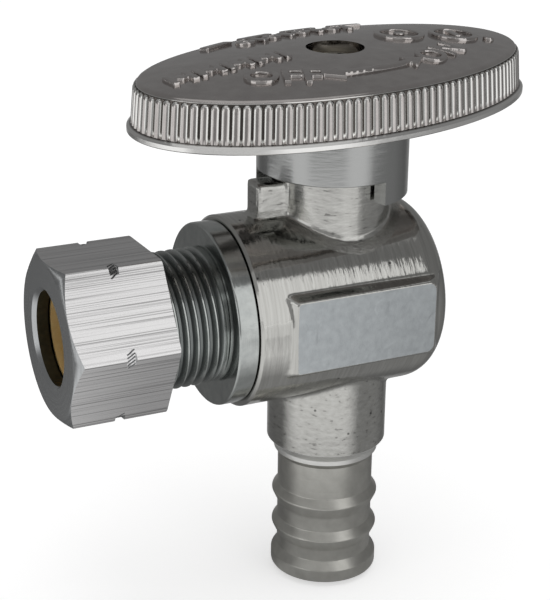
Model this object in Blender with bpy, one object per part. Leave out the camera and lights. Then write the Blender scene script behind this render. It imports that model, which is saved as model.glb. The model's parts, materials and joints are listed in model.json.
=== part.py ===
# Quarter-turn angle stop valve: ribbed crimp inlet below, compression outlet to the side, oval handle on top.
# Metres, +Z up. The origin is the centre of the inlet's end face; stem along +Z, outlet along -X.
# Heights count from the crossing of the stem's axis and the outlet's, reaches from it towards the outlet.

import math

import bmesh
import bpy
import numpy as np
from mathutils import Matrix

# Clearances
SEAT_GAP = 0.0003            # between pieces that rest on or run in each other
RING_GAP = 0.00015           # round the small seals
CHAMBER_GAP = 0.0004         # between the ball and its chamber
THREAD_GAP = 0.00015         # between the nut's thread and the outlet's
TUBE_GAP = 0.0001            # between a supply tube and its socket

# Ball and seats
BALL_WALL = 0.0027           # from the waterway to the ball's skin
INLET_PORT_STEP = 0.0004     # ball's lower port larger than the waterway
SEAT_RIM = 0.0008            # seat thickness at its bore
SLOT_DEPTH = 0.0016
TANG_THICKNESS = 0.0024

# Barrel
PLUG_SHOULDER = 0.0008       # step from the chamber to the connector's plug
PLUG_LENGTH = 0.0058
CONNECTOR_RING_SECTION = 0.0005
BARREL_WALL = 0.0016         # outside the connector's seal
END_WALL = 0.0031            # behind the rear seat
END_FILLET = 0.0030
MOUTH_BEVEL = 0.0003
PAD_PROUD = 0.0002           # wrench pads stand off the barrel
PAD_HEIGHT = 0.0078
PAD_FRONT = 0.0086
PAD_BACK = 0.0078
PAD_EDGE = 0.0008

# Outlet connector and compression joint
COLLAR_LENGTH = 0.0019
COLLAR_STEP = 0.0007         # collar smaller than the barrel
THREAD_PITCH = 0.001058
SPIGOT_LENGTH = 0.0115
SPIGOT_WALL = 0.00036        # from the ferrule's cone to the thread's root, at the spigot's end
SOCKET_DEPTH = 0.0080
SOCKET_STEP = 0.00156        # the tube's stop, from the socket down to the waterway
TUBE_RADIUS = 0.00476
FERRULE_EDGE = 0.00034       # wall of the ferrule at its ends
FERRULE_SWELL = 0.0008       # from its ends to its middle
FERRULE_CONE = 0.0017
FERRULE_LAND = 0.0014
FERRULE_ENTRY = 0.0012       # length of the ferrule's cone inside the connector
NUT_LENGTH = 0.0107
NUT_WALL = 0.0008            # from the thread to the hexagon's flats
NUT_WEB = 0.0016
RUNOUT_STEP = 0.0001         # from the thread's root to the nut's cone
NUT_HOLE_CHAMFER = 0.0004
NUT_FACE_STEP = 0.0001       # front face's circle inside the flats
NUT_CHAMFER_ANGLE = math.radians(30.0)
NUT_TURN = math.radians(2.73)

# Inlet
INLET_LENGTH = 0.0323        # inlet end to the outlet's axis
INLET_BORE_RADIUS = 0.0044
BARB_WALL = 0.0010
RIB_HEIGHT = 0.0005
RIB_PITCH = 0.00404
RIB_COUNT = 2
END_LAND = 0.0011
END_ROUND = 0.0003
RIB_RISE = 0.0016            # gentle side of a rib
RIB_FALL = 0.0010            # steep side of a rib
BARB_LENGTH = 0.0130
SHOULDER_LAND = 0.0006
SHOULDER_STEP = 0.0003
NECK_STEP = 0.0011
NECK_CONE = 0.0011

# Bonnet and stem
STEM_RADIUS = 0.0033
FLANGE_STEP = 0.0013
FLANGE_THICKNESS = 0.0012
WASHER_THICKNESS = 0.0006
STEM_RING_SECTION = 0.00045
LOWER_RING_RISE = 0.0016     # above the thrust face
RING_SPACING = 0.0022
BONNET_WALL = 0.0024
BONNET_RISE = 0.0051         # above the barrel
DRIVE_SIDE = 0.0046
LUG_WIDTH = 0.0030
LUG_OVERHANG = 0.0012        # past the hub
LUG_GAP = 0.0007             # under the hub
LUG_CHAMFER = 0.0005

# Handle
HANDLE_TURN = math.radians(13.5)
QUARTER_TURN = math.radians(90.0)
HALF_LONG = 0.02335
HALF_SHORT = 0.0134
LIP_PROUD = 0.0004
LIP_HEIGHT = 0.00057
LIP_SLOPE = 0.0003
FLUTE_COUNT = 116
FLUTE_DEPTH = 0.00035
FLUTE_HEIGHT = 0.0037
RIM_DRAFT = 0.0003
ROUND_INSET = 0.0010
ROUND_RISE = 0.0004
CROWN_RISE = 0.0012
CROWN_SHARES = (0.75, 0.40)  # rings on the crown, as shares of its edge
HUB_OVERLAP = 0.00083        # hub comes down over the bonnet
HUB_WALL = 0.00162
HUB_LENGTH = 0.00636
TAB_DROP = 0.00242
RIM_WALL = 0.0018
HANDLE_SKIN = 0.0019
HANDLE_WEB = 0.0023          # under the screw's head
RECESS_DEPTH = 0.0029
SCREW_RADIUS = 0.0015
SCREW_LENGTH = 0.0070
SCREW_HEAD_RADIUS = 0.0026
SCREW_HEAD_HEIGHT = 0.0017
SCREW_DOME = 0.0006
CROSS_WIDTH = 0.0009
CROSS_SPAN = 0.0030
CROSS_DEPTH = 0.0010

# Facets
LARGE_SIDES = 40
SMALL_SIDES = 24
THREAD_SIDES = 20
ARC_STEPS = 4
RING_STEPS = 8               # sides of a seal's section
PAD_STEPS = 2
OVAL_SAMPLES = 4000
SHARP_ANGLE = math.radians(30.0)
MERGE = 1e-7
THROUGH = 0.0010             # how far a cutter runs past a face

# Sizes that follow from the ones above, from the tube and the waterway outwards
TUBE_BORE = TUBE_RADIUS + TUBE_GAP
WATERWAY_RADIUS = TUBE_BORE - SOCKET_STEP
BALL_RADIUS = WATERWAY_RADIUS + BALL_WALL
INLET_PORT_RADIUS = WATERWAY_RADIUS + INLET_PORT_STEP
CHAMBER_RADIUS = BALL_RADIUS + CHAMBER_GAP
SEAT_RADIUS = CHAMBER_RADIUS - SEAT_GAP
SEAT_SUM = math.sqrt(2.0) * (BALL_RADIUS + SEAT_GAP)     # radius plus reach along the seat's 45 degree face
SEAT_BACK = SEAT_SUM - WATERWAY_RADIUS + SEAT_RIM
TANG_REACH = SEAT_SUM - SEAT_RADIUS - SEAT_GAP           # the tang's corners turn clear of the seats
TANG_WIDTH = 2.0 * math.sqrt(TANG_REACH ** 2 - (TANG_THICKNESS / 2.0) ** 2)
PLUG_FACE = SEAT_BACK + SEAT_GAP
PLUG_RADIUS = CHAMBER_RADIUS + PLUG_SHOULDER
COLLAR_FACE = PLUG_FACE + PLUG_LENGTH
BARREL_FRONT = COLLAR_FACE - SEAT_GAP
GROOVE_RADIUS = PLUG_RADIUS + 2.0 * (CONNECTOR_RING_SECTION + RING_GAP)
GROOVE_DEPTH = 2.0 * CONNECTOR_RING_SECTION + RING_GAP
BARREL_RADIUS = GROOVE_RADIUS + BARREL_WALL
CHAMBER_BACK = -(SEAT_BACK + SEAT_GAP)
BARREL_BACK = CHAMBER_BACK - END_WALL
COLLAR_RADIUS = BARREL_RADIUS - COLLAR_STEP
COLLAR_FRONT = COLLAR_FACE + COLLAR_LENGTH
SPIGOT_END = COLLAR_FRONT + SPIGOT_LENGTH
FERRULE_EDGE_RADIUS = TUBE_BORE + FERRULE_EDGE
FERRULE_RADIUS = FERRULE_EDGE_RADIUS + FERRULE_SWELL
FERRULE_SLOPE = FERRULE_SWELL / FERRULE_CONE
FERRULE_BACK = SPIGOT_END - FERRULE_ENTRY
FERRULE_FRONT = FERRULE_BACK + 2.0 * FERRULE_CONE + FERRULE_LAND
MOUTH_FLOOR = FERRULE_BACK - SEAT_GAP
MOUTH_RADIUS = FERRULE_EDGE_RADIUS + SEAT_GAP
MOUTH_END_RADIUS = MOUTH_RADIUS + FERRULE_SLOPE * (SPIGOT_END - MOUTH_FLOOR)
THREAD_FLANK = THREAD_PITCH * 5.0 / 16.0
THREAD_DEPTH = THREAD_FLANK * math.sqrt(3.0)
THREAD_RADIUS = MOUTH_END_RADIUS + SPIGOT_WALL + THREAD_DEPTH
NUT_FLOOR = FERRULE_FRONT + SEAT_GAP
NUT_FRONT = NUT_FLOOR + NUT_WEB
NUT_BACK = NUT_FRONT - NUT_LENGTH
NUT_HALF_FLATS = THREAD_RADIUS + THREAD_GAP + NUT_WALL
NUT_CORNER = NUT_HALF_FLATS / math.cos(math.pi / 6.0)
NUT_FACE_RADIUS = NUT_HALF_FLATS - NUT_FACE_STEP

BARB_ROOT = INLET_BORE_RADIUS + BARB_WALL
RIB_RADIUS = BARB_ROOT + RIB_HEIGHT
NECK_RADIUS = BARB_ROOT + NECK_STEP

STEM_BORE = STEM_RADIUS + SEAT_GAP
FLANGE_RADIUS = STEM_RADIUS + FLANGE_STEP
FLANGE_BASE = BALL_RADIUS + SEAT_GAP
FLANGE_TOP = FLANGE_BASE + FLANGE_THICKNESS
WASHER_BASE = FLANGE_TOP + RING_GAP
THRUST_FACE = WASHER_BASE + WASHER_THICKNESS + RING_GAP
STEM_POCKET = FLANGE_RADIUS + SEAT_GAP
BONNET_RADIUS = STEM_BORE + BONNET_WALL
BONNET_TOP = BARREL_RADIUS + BONNET_RISE
RING_HALF_GROOVE = STEM_RING_SECTION + RING_GAP
RING_ROOT = STEM_BORE - 2.0 * RING_HALF_GROOVE
RING_HEIGHTS = (THRUST_FACE + LOWER_RING_RISE, THRUST_FACE + LOWER_RING_RISE + RING_SPACING)

HUB_BASE = BONNET_TOP - HUB_OVERLAP
HUB_BORE = BONNET_RADIUS + SEAT_GAP
HUB_RADIUS = HUB_BORE + HUB_WALL
TAB_BASE = HUB_BASE - TAB_DROP
LUG_TOP = HUB_BASE - LUG_GAP
LUG_REACH = HUB_RADIUS + LUG_OVERHANG
STOP_ANGLE = math.asin((LUG_WIDTH / 2.0 + SEAT_GAP) / HUB_BORE)   # lug's middle to the skirt's end at a stop
LIP_BASE = HUB_BASE + HUB_LENGTH
LIP_TOP = LIP_BASE + LIP_HEIGHT
FLUTE_BASE = LIP_TOP + LIP_SLOPE
FLUTE_TOP = FLUTE_BASE + FLUTE_HEIGHT
ROUND_TOP = FLUTE_TOP + ROUND_RISE
CROWN_TOP = ROUND_TOP + CROWN_RISE
CAVITY_ROOF = ROUND_TOP - HANDLE_SKIN
RECESS_FLOOR = CROWN_TOP - RECESS_DEPTH
RECESS_RADIUS = SCREW_HEAD_RADIUS + SEAT_GAP
DRIVE_ROOF = RECESS_FLOOR - HANDLE_WEB
DRIVE_TOP = DRIVE_ROOF - SEAT_GAP
SCREW_SEAT = RECESS_FLOOR + SEAT_GAP
SCREW_TIP = SCREW_SEAT - SCREW_LENGTH
SCREW_HOLE = SCREW_RADIUS + SEAT_GAP


def clear_scene():
    for item in list(bpy.data.objects):
        bpy.data.objects.remove(item, do_unlink=True)


def finish(name, color, roughness, metallic):
    material = bpy.data.materials.new(name)
    material.use_nodes = True
    shader = material.node_tree.nodes["Principled BSDF"]
    shader.inputs["Base Color"].default_value = (*color, 1.0)
    shader.inputs["Roughness"].default_value = roughness
    shader.inputs["Metallic"].default_value = metallic
    return material


def axis_empty(name, turn):
    empty = bpy.data.objects.new(name, None)
    empty.location = (0.0, 0.0, INLET_LENGTH)
    empty.rotation_euler = turn
    bpy.context.collection.objects.link(empty)
    return empty


def add_object(name, shape, parent):
    bmesh.ops.recalc_face_normals(shape, faces=shape.faces)
    mesh = bpy.data.meshes.new(name)
    shape.to_mesh(mesh)
    shape.free()
    item = bpy.data.objects.new(name, mesh)
    item.parent = parent
    bpy.context.collection.objects.link(item)
    return item


def piece(name, shape, parent, material):
    item = add_object(name, shape, parent)
    item.data.materials.append(material)
    item.data.shade_smooth()
    item.data.set_sharp_from_angle(angle=SHARP_ANGLE)
    return item


def combine(item, operation, name, shape, parent):
    guide = add_object(name, shape, parent)
    guide.hide_render = True
    guide.display_type = "WIRE"
    modifier = item.modifiers.new(name, "BOOLEAN")
    modifier.operation = operation
    modifier.solver = "EXACT"
    modifier.object = guide
    return guide


def turned(outline, sides):
    # A closed outline of (radius, height) points gives a ring; one that runs from axis to axis gives a solid.
    shape = bmesh.new()
    points = [shape.verts.new((radius, 0.0, height)) for radius, height in outline]
    edges = [shape.edges.new(pair) for pair in zip(points, points[1:])]
    if outline[0][0] > 0.0:
        edges.append(shape.edges.new((points[-1], points[0])))
    bmesh.ops.spin(shape, geom=points + edges, axis=(0.0, 0.0, 1.0), cent=(0.0, 0.0, 0.0),
                   angle=2.0 * math.pi, steps=sides, use_merge=True)
    bmesh.ops.remove_doubles(shape, verts=shape.verts, dist=MERGE)
    return shape


def arc(center, radius, start, end, steps=ARC_STEPS):
    angles = np.linspace(math.radians(start), math.radians(end), steps + 1)
    return [(center[0] + radius * math.cos(a), center[1] + radius * math.sin(a)) for a in angles]


def box(low, high):
    shape = bmesh.new()
    size = [b - a for a, b in zip(low, high)]
    middle = [(a + b) / 2.0 for a, b in zip(low, high)]
    place = Matrix.Translation(middle) @ Matrix.Diagonal((*size, 1.0))
    bmesh.ops.create_cube(shape, size=1.0, matrix=place)
    return shape


def edges_where(shape, test):
    return [edge for edge in shape.edges if all(test(vert.co) for vert in edge.verts)]


def o_ring(middle_radius, height, section):
    last = 360.0 - 360.0 / RING_STEPS
    return turned(arc((middle_radius, height), section, 0.0, last, RING_STEPS - 1), SMALL_SIDES)


def threaded_rod(crest, start, end):
    # One tooth is swept along the right-hand helix, then the rod is trimmed flat at both ends.
    root = crest - THREAD_DEPTH
    base = (math.floor(start / THREAD_PITCH) - 1.0) * THREAD_PITCH
    turns = math.ceil((end - base) / THREAD_PITCH) + 1
    root_flat = THREAD_PITCH / 4.0
    crest_flat = THREAD_PITCH / 8.0
    outline = [(root, 0.0), (root, root_flat), (crest, root_flat + THREAD_FLANK),
               (crest, root_flat + THREAD_FLANK + crest_flat), (root, THREAD_PITCH)]
    shape = bmesh.new()
    points = [shape.verts.new((radius, 0.0, base + rise)) for radius, rise in outline]
    edges = [shape.edges.new(pair) for pair in zip(points, points[1:])]
    bmesh.ops.spin(shape, geom=points + edges, axis=(0.0, 0.0, 1.0), cent=(0.0, 0.0, 0.0),
                   dvec=(0.0, 0.0, THREAD_PITCH / THREAD_SIDES), angle=2.0 * math.pi * turns,
                   steps=THREAD_SIDES * turns)
    bmesh.ops.remove_doubles(shape, verts=shape.verts, dist=MERGE)
    for height, below in ((start, True), (end, False)):
        everything = shape.verts[:] + shape.edges[:] + shape.faces[:]
        bmesh.ops.bisect_plane(shape, geom=everything, dist=MERGE, plane_co=(0.0, 0.0, height),
                               plane_no=(0.0, 0.0, 1.0), clear_inner=below, clear_outer=not below)
    rims = [edge for edge in shape.edges if edge.is_boundary]
    bmesh.ops.edgeloop_fill(shape, edges=rims)
    return shape


def seat_outline(side):
    # Ring with a 45 degree face towards the ball; side is 1 at the outlet and -1 at the closed end.
    return [(WATERWAY_RADIUS, side * (SEAT_SUM - WATERWAY_RADIUS)),
            (SEAT_RADIUS, side * (SEAT_SUM - SEAT_RADIUS)),
            (SEAT_RADIUS, side * SEAT_BACK), (WATERWAY_RADIUS, side * SEAT_BACK)]


def upright_outline():
    # Barb, neck and bonnet, from the inlet's end up to the bonnet's top.
    end = -INLET_LENGTH
    outline = [(0.0, end), (RIB_RADIUS - END_ROUND, end), (RIB_RADIUS, end + END_ROUND),
               (RIB_RADIUS, end + END_LAND), (BARB_ROOT, end + END_LAND + RIB_FALL)]
    for number in range(1, RIB_COUNT + 1):
        peak = end + END_LAND + number * RIB_PITCH
        outline += [(BARB_ROOT, peak - RIB_RISE), (RIB_RADIUS, peak), (BARB_ROOT, peak + RIB_FALL)]
    shoulder = end + BARB_LENGTH
    land = BARB_ROOT + SHOULDER_STEP
    outline += [(BARB_ROOT, shoulder), (land, shoulder + SHOULDER_STEP),
                (land, shoulder + SHOULDER_STEP + SHOULDER_LAND),
                (NECK_RADIUS, shoulder + SHOULDER_STEP + SHOULDER_LAND + NECK_CONE),
                (NECK_RADIUS, 0.0), (BONNET_RADIUS, 0.0), (BONNET_RADIUS, BONNET_TOP), (0.0, BONNET_TOP)]
    return outline


def make_body(stem_axis, outlet_axis, material):
    fillet_center = (BARREL_RADIUS - END_FILLET, BARREL_BACK + END_FILLET)
    barrel = [(0.0, BARREL_BACK)] + arc(fillet_center, END_FILLET, -90.0, 0.0)
    barrel += [(BARREL_RADIUS, BARREL_FRONT - MOUTH_BEVEL), (BARREL_RADIUS - MOUTH_BEVEL, BARREL_FRONT),
               (0.0, BARREL_FRONT)]
    body = piece("valve_body", turned(barrel, LARGE_SIDES), outlet_axis, material)

    face = BARREL_RADIUS + PAD_PROUD
    pads = box((-PAD_FRONT, -face, -PAD_HEIGHT / 2.0), (PAD_BACK, face, PAD_HEIGHT / 2.0))
    back_edges = edges_where(pads, lambda co: co.x > 0.0 and abs(co.y) > face / 2.0)
    upright_edges = [edge for edge in back_edges if abs(edge.verts[0].co.y - edge.verts[1].co.y) < MERGE]
    bmesh.ops.bevel(pads, geom=upright_edges, offset=PAD_EDGE, segments=PAD_STEPS, profile=0.5,
                    affect="EDGES")
    combine(body, "UNION", "wrench_pads_guide", pads, stem_axis)

    combine(body, "UNION", "upright_guide", turned(upright_outline(), LARGE_SIDES), stem_axis)

    lug = box((-LUG_REACH, -LUG_WIDTH / 2.0, BARREL_RADIUS / 2.0),
              (-BONNET_RADIUS / 2.0, LUG_WIDTH / 2.0, LUG_TOP))
    outer_top = edges_where(lug, lambda co: co.x < -BONNET_RADIUS and co.z > BARREL_RADIUS)
    bmesh.ops.bevel(lug, geom=outer_top, offset=LUG_CHAMFER, segments=1, profile=0.5, affect="EDGES")
    combine(body, "UNION", "stop_lug_guide", lug, stem_axis)

    plug_bore = PLUG_RADIUS + SEAT_GAP
    outlet_bore = [(0.0, CHAMBER_BACK), (CHAMBER_RADIUS, CHAMBER_BACK), (CHAMBER_RADIUS, SEAT_BACK),
                   (plug_bore, SEAT_BACK), (plug_bore, BARREL_FRONT - GROOVE_DEPTH),
                   (GROOVE_RADIUS, BARREL_FRONT - GROOVE_DEPTH), (GROOVE_RADIUS, BARREL_FRONT + THROUGH),
                   (0.0, BARREL_FRONT + THROUGH)]
    combine(body, "DIFFERENCE", "outlet_bore_cutter", turned(outlet_bore, LARGE_SIDES), outlet_axis)

    upright_bore = [(0.0, -INLET_LENGTH - THROUGH), (INLET_BORE_RADIUS, -INLET_LENGTH - THROUGH),
                    (INLET_BORE_RADIUS, 0.0), (STEM_POCKET, 0.0), (STEM_POCKET, THRUST_FACE),
                    (STEM_BORE, THRUST_FACE), (STEM_BORE, BONNET_TOP + THROUGH), (0.0, BONNET_TOP + THROUGH)]
    combine(body, "DIFFERENCE", "upright_bore_cutter", turned(upright_bore, SMALL_SIDES), stem_axis)


def make_connector(outlet_axis, material):
    plug = [(0.0, PLUG_FACE), (PLUG_RADIUS, PLUG_FACE), (PLUG_RADIUS, COLLAR_FACE),
            (COLLAR_RADIUS, COLLAR_FACE), (COLLAR_RADIUS, COLLAR_FRONT), (0.0, COLLAR_FRONT)]
    connector = piece("outlet_connector", turned(plug, LARGE_SIDES), outlet_axis, material)
    thread = threaded_rod(THREAD_RADIUS, COLLAR_FRONT - COLLAR_LENGTH / 2.0, SPIGOT_END)
    combine(connector, "UNION", "outlet_thread_guide", thread, outlet_axis)
    socket_floor = SPIGOT_END - SOCKET_DEPTH
    bore_start = PLUG_FACE - THROUGH
    bore_end = SPIGOT_END + THROUGH
    bore = [(0.0, bore_start), (WATERWAY_RADIUS, bore_start), (WATERWAY_RADIUS, socket_floor),
            (TUBE_BORE, socket_floor), (TUBE_BORE, MOUTH_FLOOR), (MOUTH_RADIUS, MOUTH_FLOOR),
            (MOUTH_END_RADIUS + FERRULE_SLOPE * THROUGH, bore_end), (0.0, bore_end)]
    combine(connector, "DIFFERENCE", "connector_bore_cutter", turned(bore, SMALL_SIDES), outlet_axis)


def make_nut(outlet_axis, material):
    shape = bmesh.new()
    place = Matrix.Translation((0.0, 0.0, (NUT_BACK + NUT_FRONT) / 2.0)) @ Matrix.Rotation(NUT_TURN, 4, "Z")
    bmesh.ops.create_cone(shape, cap_ends=True, segments=6, radius1=NUT_CORNER, radius2=NUT_CORNER,
                          depth=NUT_LENGTH, matrix=place)
    nut = piece("compression_nut", shape, outlet_axis, material)

    outer = NUT_CORNER + THROUGH
    drop = (outer - NUT_FACE_RADIUS) * math.tan(NUT_CHAMFER_ANGLE)
    chamfer = [(0.0, NUT_BACK), (NUT_FACE_RADIUS, NUT_BACK), (outer, NUT_BACK + drop),
               (outer, NUT_FRONT - drop), (NUT_FACE_RADIUS, NUT_FRONT), (0.0, NUT_FRONT)]
    combine(nut, "INTERSECT", "nut_chamfer_guide", turned(chamfer, LARGE_SIDES), outlet_axis)

    cone_end = THREAD_RADIUS + THREAD_GAP - THREAD_DEPTH - RUNOUT_STEP
    thread_end = NUT_FLOOR - (cone_end - MOUTH_RADIUS) / FERRULE_SLOPE
    bore = [(0.0, NUT_BACK - THROUGH), (cone_end, NUT_BACK - THROUGH), (cone_end, thread_end),
            (MOUTH_RADIUS, NUT_FLOOR), (TUBE_BORE, NUT_FLOOR), (TUBE_BORE, NUT_FRONT - NUT_HOLE_CHAMFER),
            (TUBE_BORE + NUT_HOLE_CHAMFER + THROUGH, NUT_FRONT + THROUGH), (0.0, NUT_FRONT + THROUGH)]
    combine(nut, "DIFFERENCE", "nut_bore_cutter", turned(bore, SMALL_SIDES), outlet_axis)
    thread = threaded_rod(THREAD_RADIUS + THREAD_GAP, NUT_BACK - THROUGH, thread_end)
    combine(nut, "DIFFERENCE", "nut_thread_cutter", thread, outlet_axis)


def make_ferrule(outlet_axis, material):
    outline = [(TUBE_BORE, FERRULE_BACK), (FERRULE_EDGE_RADIUS, FERRULE_BACK),
               (FERRULE_RADIUS, FERRULE_BACK + FERRULE_CONE), (FERRULE_RADIUS, FERRULE_FRONT - FERRULE_CONE),
               (FERRULE_EDGE_RADIUS, FERRULE_FRONT), (TUBE_BORE, FERRULE_FRONT)]
    piece("ferrule", turned(outline, SMALL_SIDES), outlet_axis, material)


def make_seals(stem_axis, outlet_axis, plastic, rubber):
    piece("outlet_seat", turned(seat_outline(1.0), SMALL_SIDES), outlet_axis, plastic)
    piece("rear_seat", turned(seat_outline(-1.0), SMALL_SIDES), outlet_axis, plastic)
    ring_radius = PLUG_RADIUS + RING_GAP + CONNECTOR_RING_SECTION
    ring_reach = BARREL_FRONT - GROOVE_DEPTH + RING_GAP + CONNECTOR_RING_SECTION
    piece("connector_ring", o_ring(ring_radius, ring_reach, CONNECTOR_RING_SECTION), outlet_axis, rubber)
    washer = [(STEM_BORE, WASHER_BASE), (FLANGE_RADIUS, WASHER_BASE),
              (FLANGE_RADIUS, WASHER_BASE + WASHER_THICKNESS), (STEM_BORE, WASHER_BASE + WASHER_THICKNESS)]
    piece("thrust_washer", turned(washer, SMALL_SIDES), stem_axis, plastic)
    for name, height in zip(("stem_ring_lower", "stem_ring_upper"), RING_HEIGHTS):
        ring = o_ring(RING_ROOT + RING_HALF_GROOVE, height, STEM_RING_SECTION)
        piece(name, ring, stem_axis, rubber)


def make_ball(stem_axis, outlet_axis, material):
    sphere = arc((0.0, 0.0), BALL_RADIUS, -90.0, 90.0, SMALL_SIDES // 2)
    outline = [(0.0, -BALL_RADIUS)] + sphere[1:-1] + [(0.0, BALL_RADIUS)]
    ball = piece("ball", turned(outline, SMALL_SIDES), stem_axis, material)
    past = BALL_RADIUS + THROUGH
    half_slot = TANG_THICKNESS / 2.0 + SEAT_GAP
    slot = box((-half_slot, -past, BALL_RADIUS - SLOT_DEPTH), (half_slot, past, past))
    combine(ball, "DIFFERENCE", "tang_slot_cutter", slot, stem_axis)
    port = [(0.0, -WATERWAY_RADIUS / 2.0), (WATERWAY_RADIUS, -WATERWAY_RADIUS / 2.0), (WATERWAY_RADIUS, past),
            (0.0, past)]
    combine(ball, "DIFFERENCE", "side_port_cutter", turned(port, SMALL_SIDES), outlet_axis)
    below = [(0.0, -past), (INLET_PORT_RADIUS, -past), (INLET_PORT_RADIUS, WATERWAY_RADIUS / 2.0),
             (0.0, WATERWAY_RADIUS / 2.0)]
    combine(ball, "DIFFERENCE", "inlet_port_cutter", turned(below, SMALL_SIDES), stem_axis)


def make_stem(stem_axis, material):
    outline = [(0.0, FLANGE_BASE), (FLANGE_RADIUS, FLANGE_BASE), (FLANGE_RADIUS, FLANGE_TOP),
               (STEM_RADIUS, FLANGE_TOP)]
    for height in RING_HEIGHTS:
        outline += [(STEM_RADIUS, height - RING_HALF_GROOVE), (RING_ROOT, height - RING_HALF_GROOVE),
                    (RING_ROOT, height + RING_HALF_GROOVE), (STEM_RADIUS, height + RING_HALF_GROOVE)]
    outline += [(STEM_RADIUS, BONNET_TOP), (0.0, BONNET_TOP)]
    stem = piece("stem", turned(outline, SMALL_SIDES), stem_axis, material)
    tang_base = BALL_RADIUS - SLOT_DEPTH + SEAT_GAP
    tang = box((-TANG_THICKNESS / 2.0, -TANG_WIDTH / 2.0, tang_base),
               (TANG_THICKNESS / 2.0, TANG_WIDTH / 2.0, FLANGE_BASE + FLANGE_THICKNESS / 2.0))
    combine(stem, "UNION", "tang_guide", tang, stem_axis)
    half = DRIVE_SIDE / 2.0
    drive = box((-half, -half, BONNET_TOP - THROUGH), (half, half, DRIVE_TOP))
    combine(stem, "UNION", "drive_guide", drive, stem_axis)
    hole_floor = SCREW_TIP - SEAT_GAP
    hole_end = DRIVE_TOP + THROUGH
    hole = [(0.0, hole_floor), (SCREW_HOLE, hole_floor), (SCREW_HOLE, hole_end), (0.0, hole_end)]
    combine(stem, "DIFFERENCE", "tapped_hole_cutter", turned(hole, SMALL_SIDES), stem_axis)


def rim_angles():
    # Angles on the oval that divide its edge into equal lengths, two to a flute.
    dense = np.linspace(0.0, 2.0 * math.pi, OVAL_SAMPLES + 1)
    x = HALF_LONG * np.cos(dense)
    y = HALF_SHORT * np.sin(dense)
    along = np.concatenate(([0.0], np.cumsum(np.hypot(np.diff(x), np.diff(y)))))
    return np.interp(np.arange(2 * FLUTE_COUNT) / (2 * FLUTE_COUNT) * along[-1], along, dense)


def oval_loop(shape, angles, insets, height):
    loop = []
    for angle, inset in zip(angles, insets):
        x = (HALF_LONG - inset) * math.cos(angle)
        y = (HALF_SHORT - inset) * math.sin(angle)
        loop.append(shape.verts.new((x, y, height)))
    return loop


def loop_part(loop, number, step):
    return [loop[(number * step + i) % len(loop)] for i in range(step + 1)]


def join_loops(shape, lower, upper):
    # Side faces between two loops; one edge of a plain loop meets two of a fluted one.
    count = min(len(lower), len(upper))
    for number in range(count):
        low = loop_part(lower, number, len(lower) // count)
        high = loop_part(upper, number, len(upper) // count)
        shape.faces.new(low + high[::-1])


def handle_blank():
    # Lip, fluted rim, rounded edge and crowned top of the oval, closed below.
    shape = bmesh.new()
    angles = rim_angles()
    plain = angles[::2]
    flutes = np.tile([0.0, FLUTE_DEPTH], FLUTE_COUNT)
    even = np.zeros(FLUTE_COUNT)
    loops = [oval_loop(shape, plain, even - LIP_PROUD, LIP_BASE),
             oval_loop(shape, plain, even - LIP_PROUD, LIP_TOP),
             oval_loop(shape, angles, flutes, FLUTE_BASE),
             oval_loop(shape, angles, flutes + RIM_DRAFT, FLUTE_TOP),
             oval_loop(shape, plain, even + RIM_DRAFT + ROUND_INSET, ROUND_TOP)]
    for share in CROWN_SHARES:
        ring = oval_loop(shape, plain, even + RIM_DRAFT + ROUND_INSET, ROUND_TOP)
        for vert in ring:
            vert.co.x *= share
            vert.co.y *= share
            vert.co.z += CROWN_RISE * (1.0 - share * share)
        loops.append(ring)
    for lower, upper in zip(loops, loops[1:]):
        join_loops(shape, lower, upper)
    shape.faces.new(loops[0][::-1])
    shape.faces.new(loops[-1])
    return shape


def handle_cavity():
    # Hollow under the handle: an oval prism with the hub left standing in its middle.
    shape = bmesh.new()
    angles = rim_angles()[::4]
    loop = oval_loop(shape, angles, np.full(len(angles), RIM_WALL), LIP_BASE - THROUGH)
    floor = shape.faces.new(loop)
    prism = bmesh.ops.extrude_face_region(shape, geom=[floor])
    raised = [item for item in prism["geom"] if isinstance(item, bmesh.types.BMVert)]
    bmesh.ops.translate(shape, verts=raised, vec=(0.0, 0.0, CAVITY_ROOF - LIP_BASE + THROUGH))
    return shape


def stop_skirt():
    # Part ring under the hub; its two ends meet the lug a quarter turn apart.
    shape = bmesh.new()
    start = math.pi + STOP_ANGLE + QUARTER_TURN
    sweep = 2.0 * math.pi - 2.0 * STOP_ANGLE - QUARTER_TURN
    top = HUB_BASE + HUB_OVERLAP / 2.0
    corners = [(HUB_BORE, TAB_BASE), (HUB_RADIUS, TAB_BASE), (HUB_RADIUS, top), (HUB_BORE, top)]
    turn = Matrix.Rotation(start, 4, "Z")
    points = [shape.verts.new(turn @ Matrix.Translation((radius, 0.0, height)).to_translation())
              for radius, height in corners]
    face = shape.faces.new(points)
    bmesh.ops.spin(shape, geom=points + list(face.edges) + [face], axis=(0.0, 0.0, 1.0), cent=(0.0, 0.0, 0.0),
                   angle=sweep, steps=SMALL_SIDES)
    return shape


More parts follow.
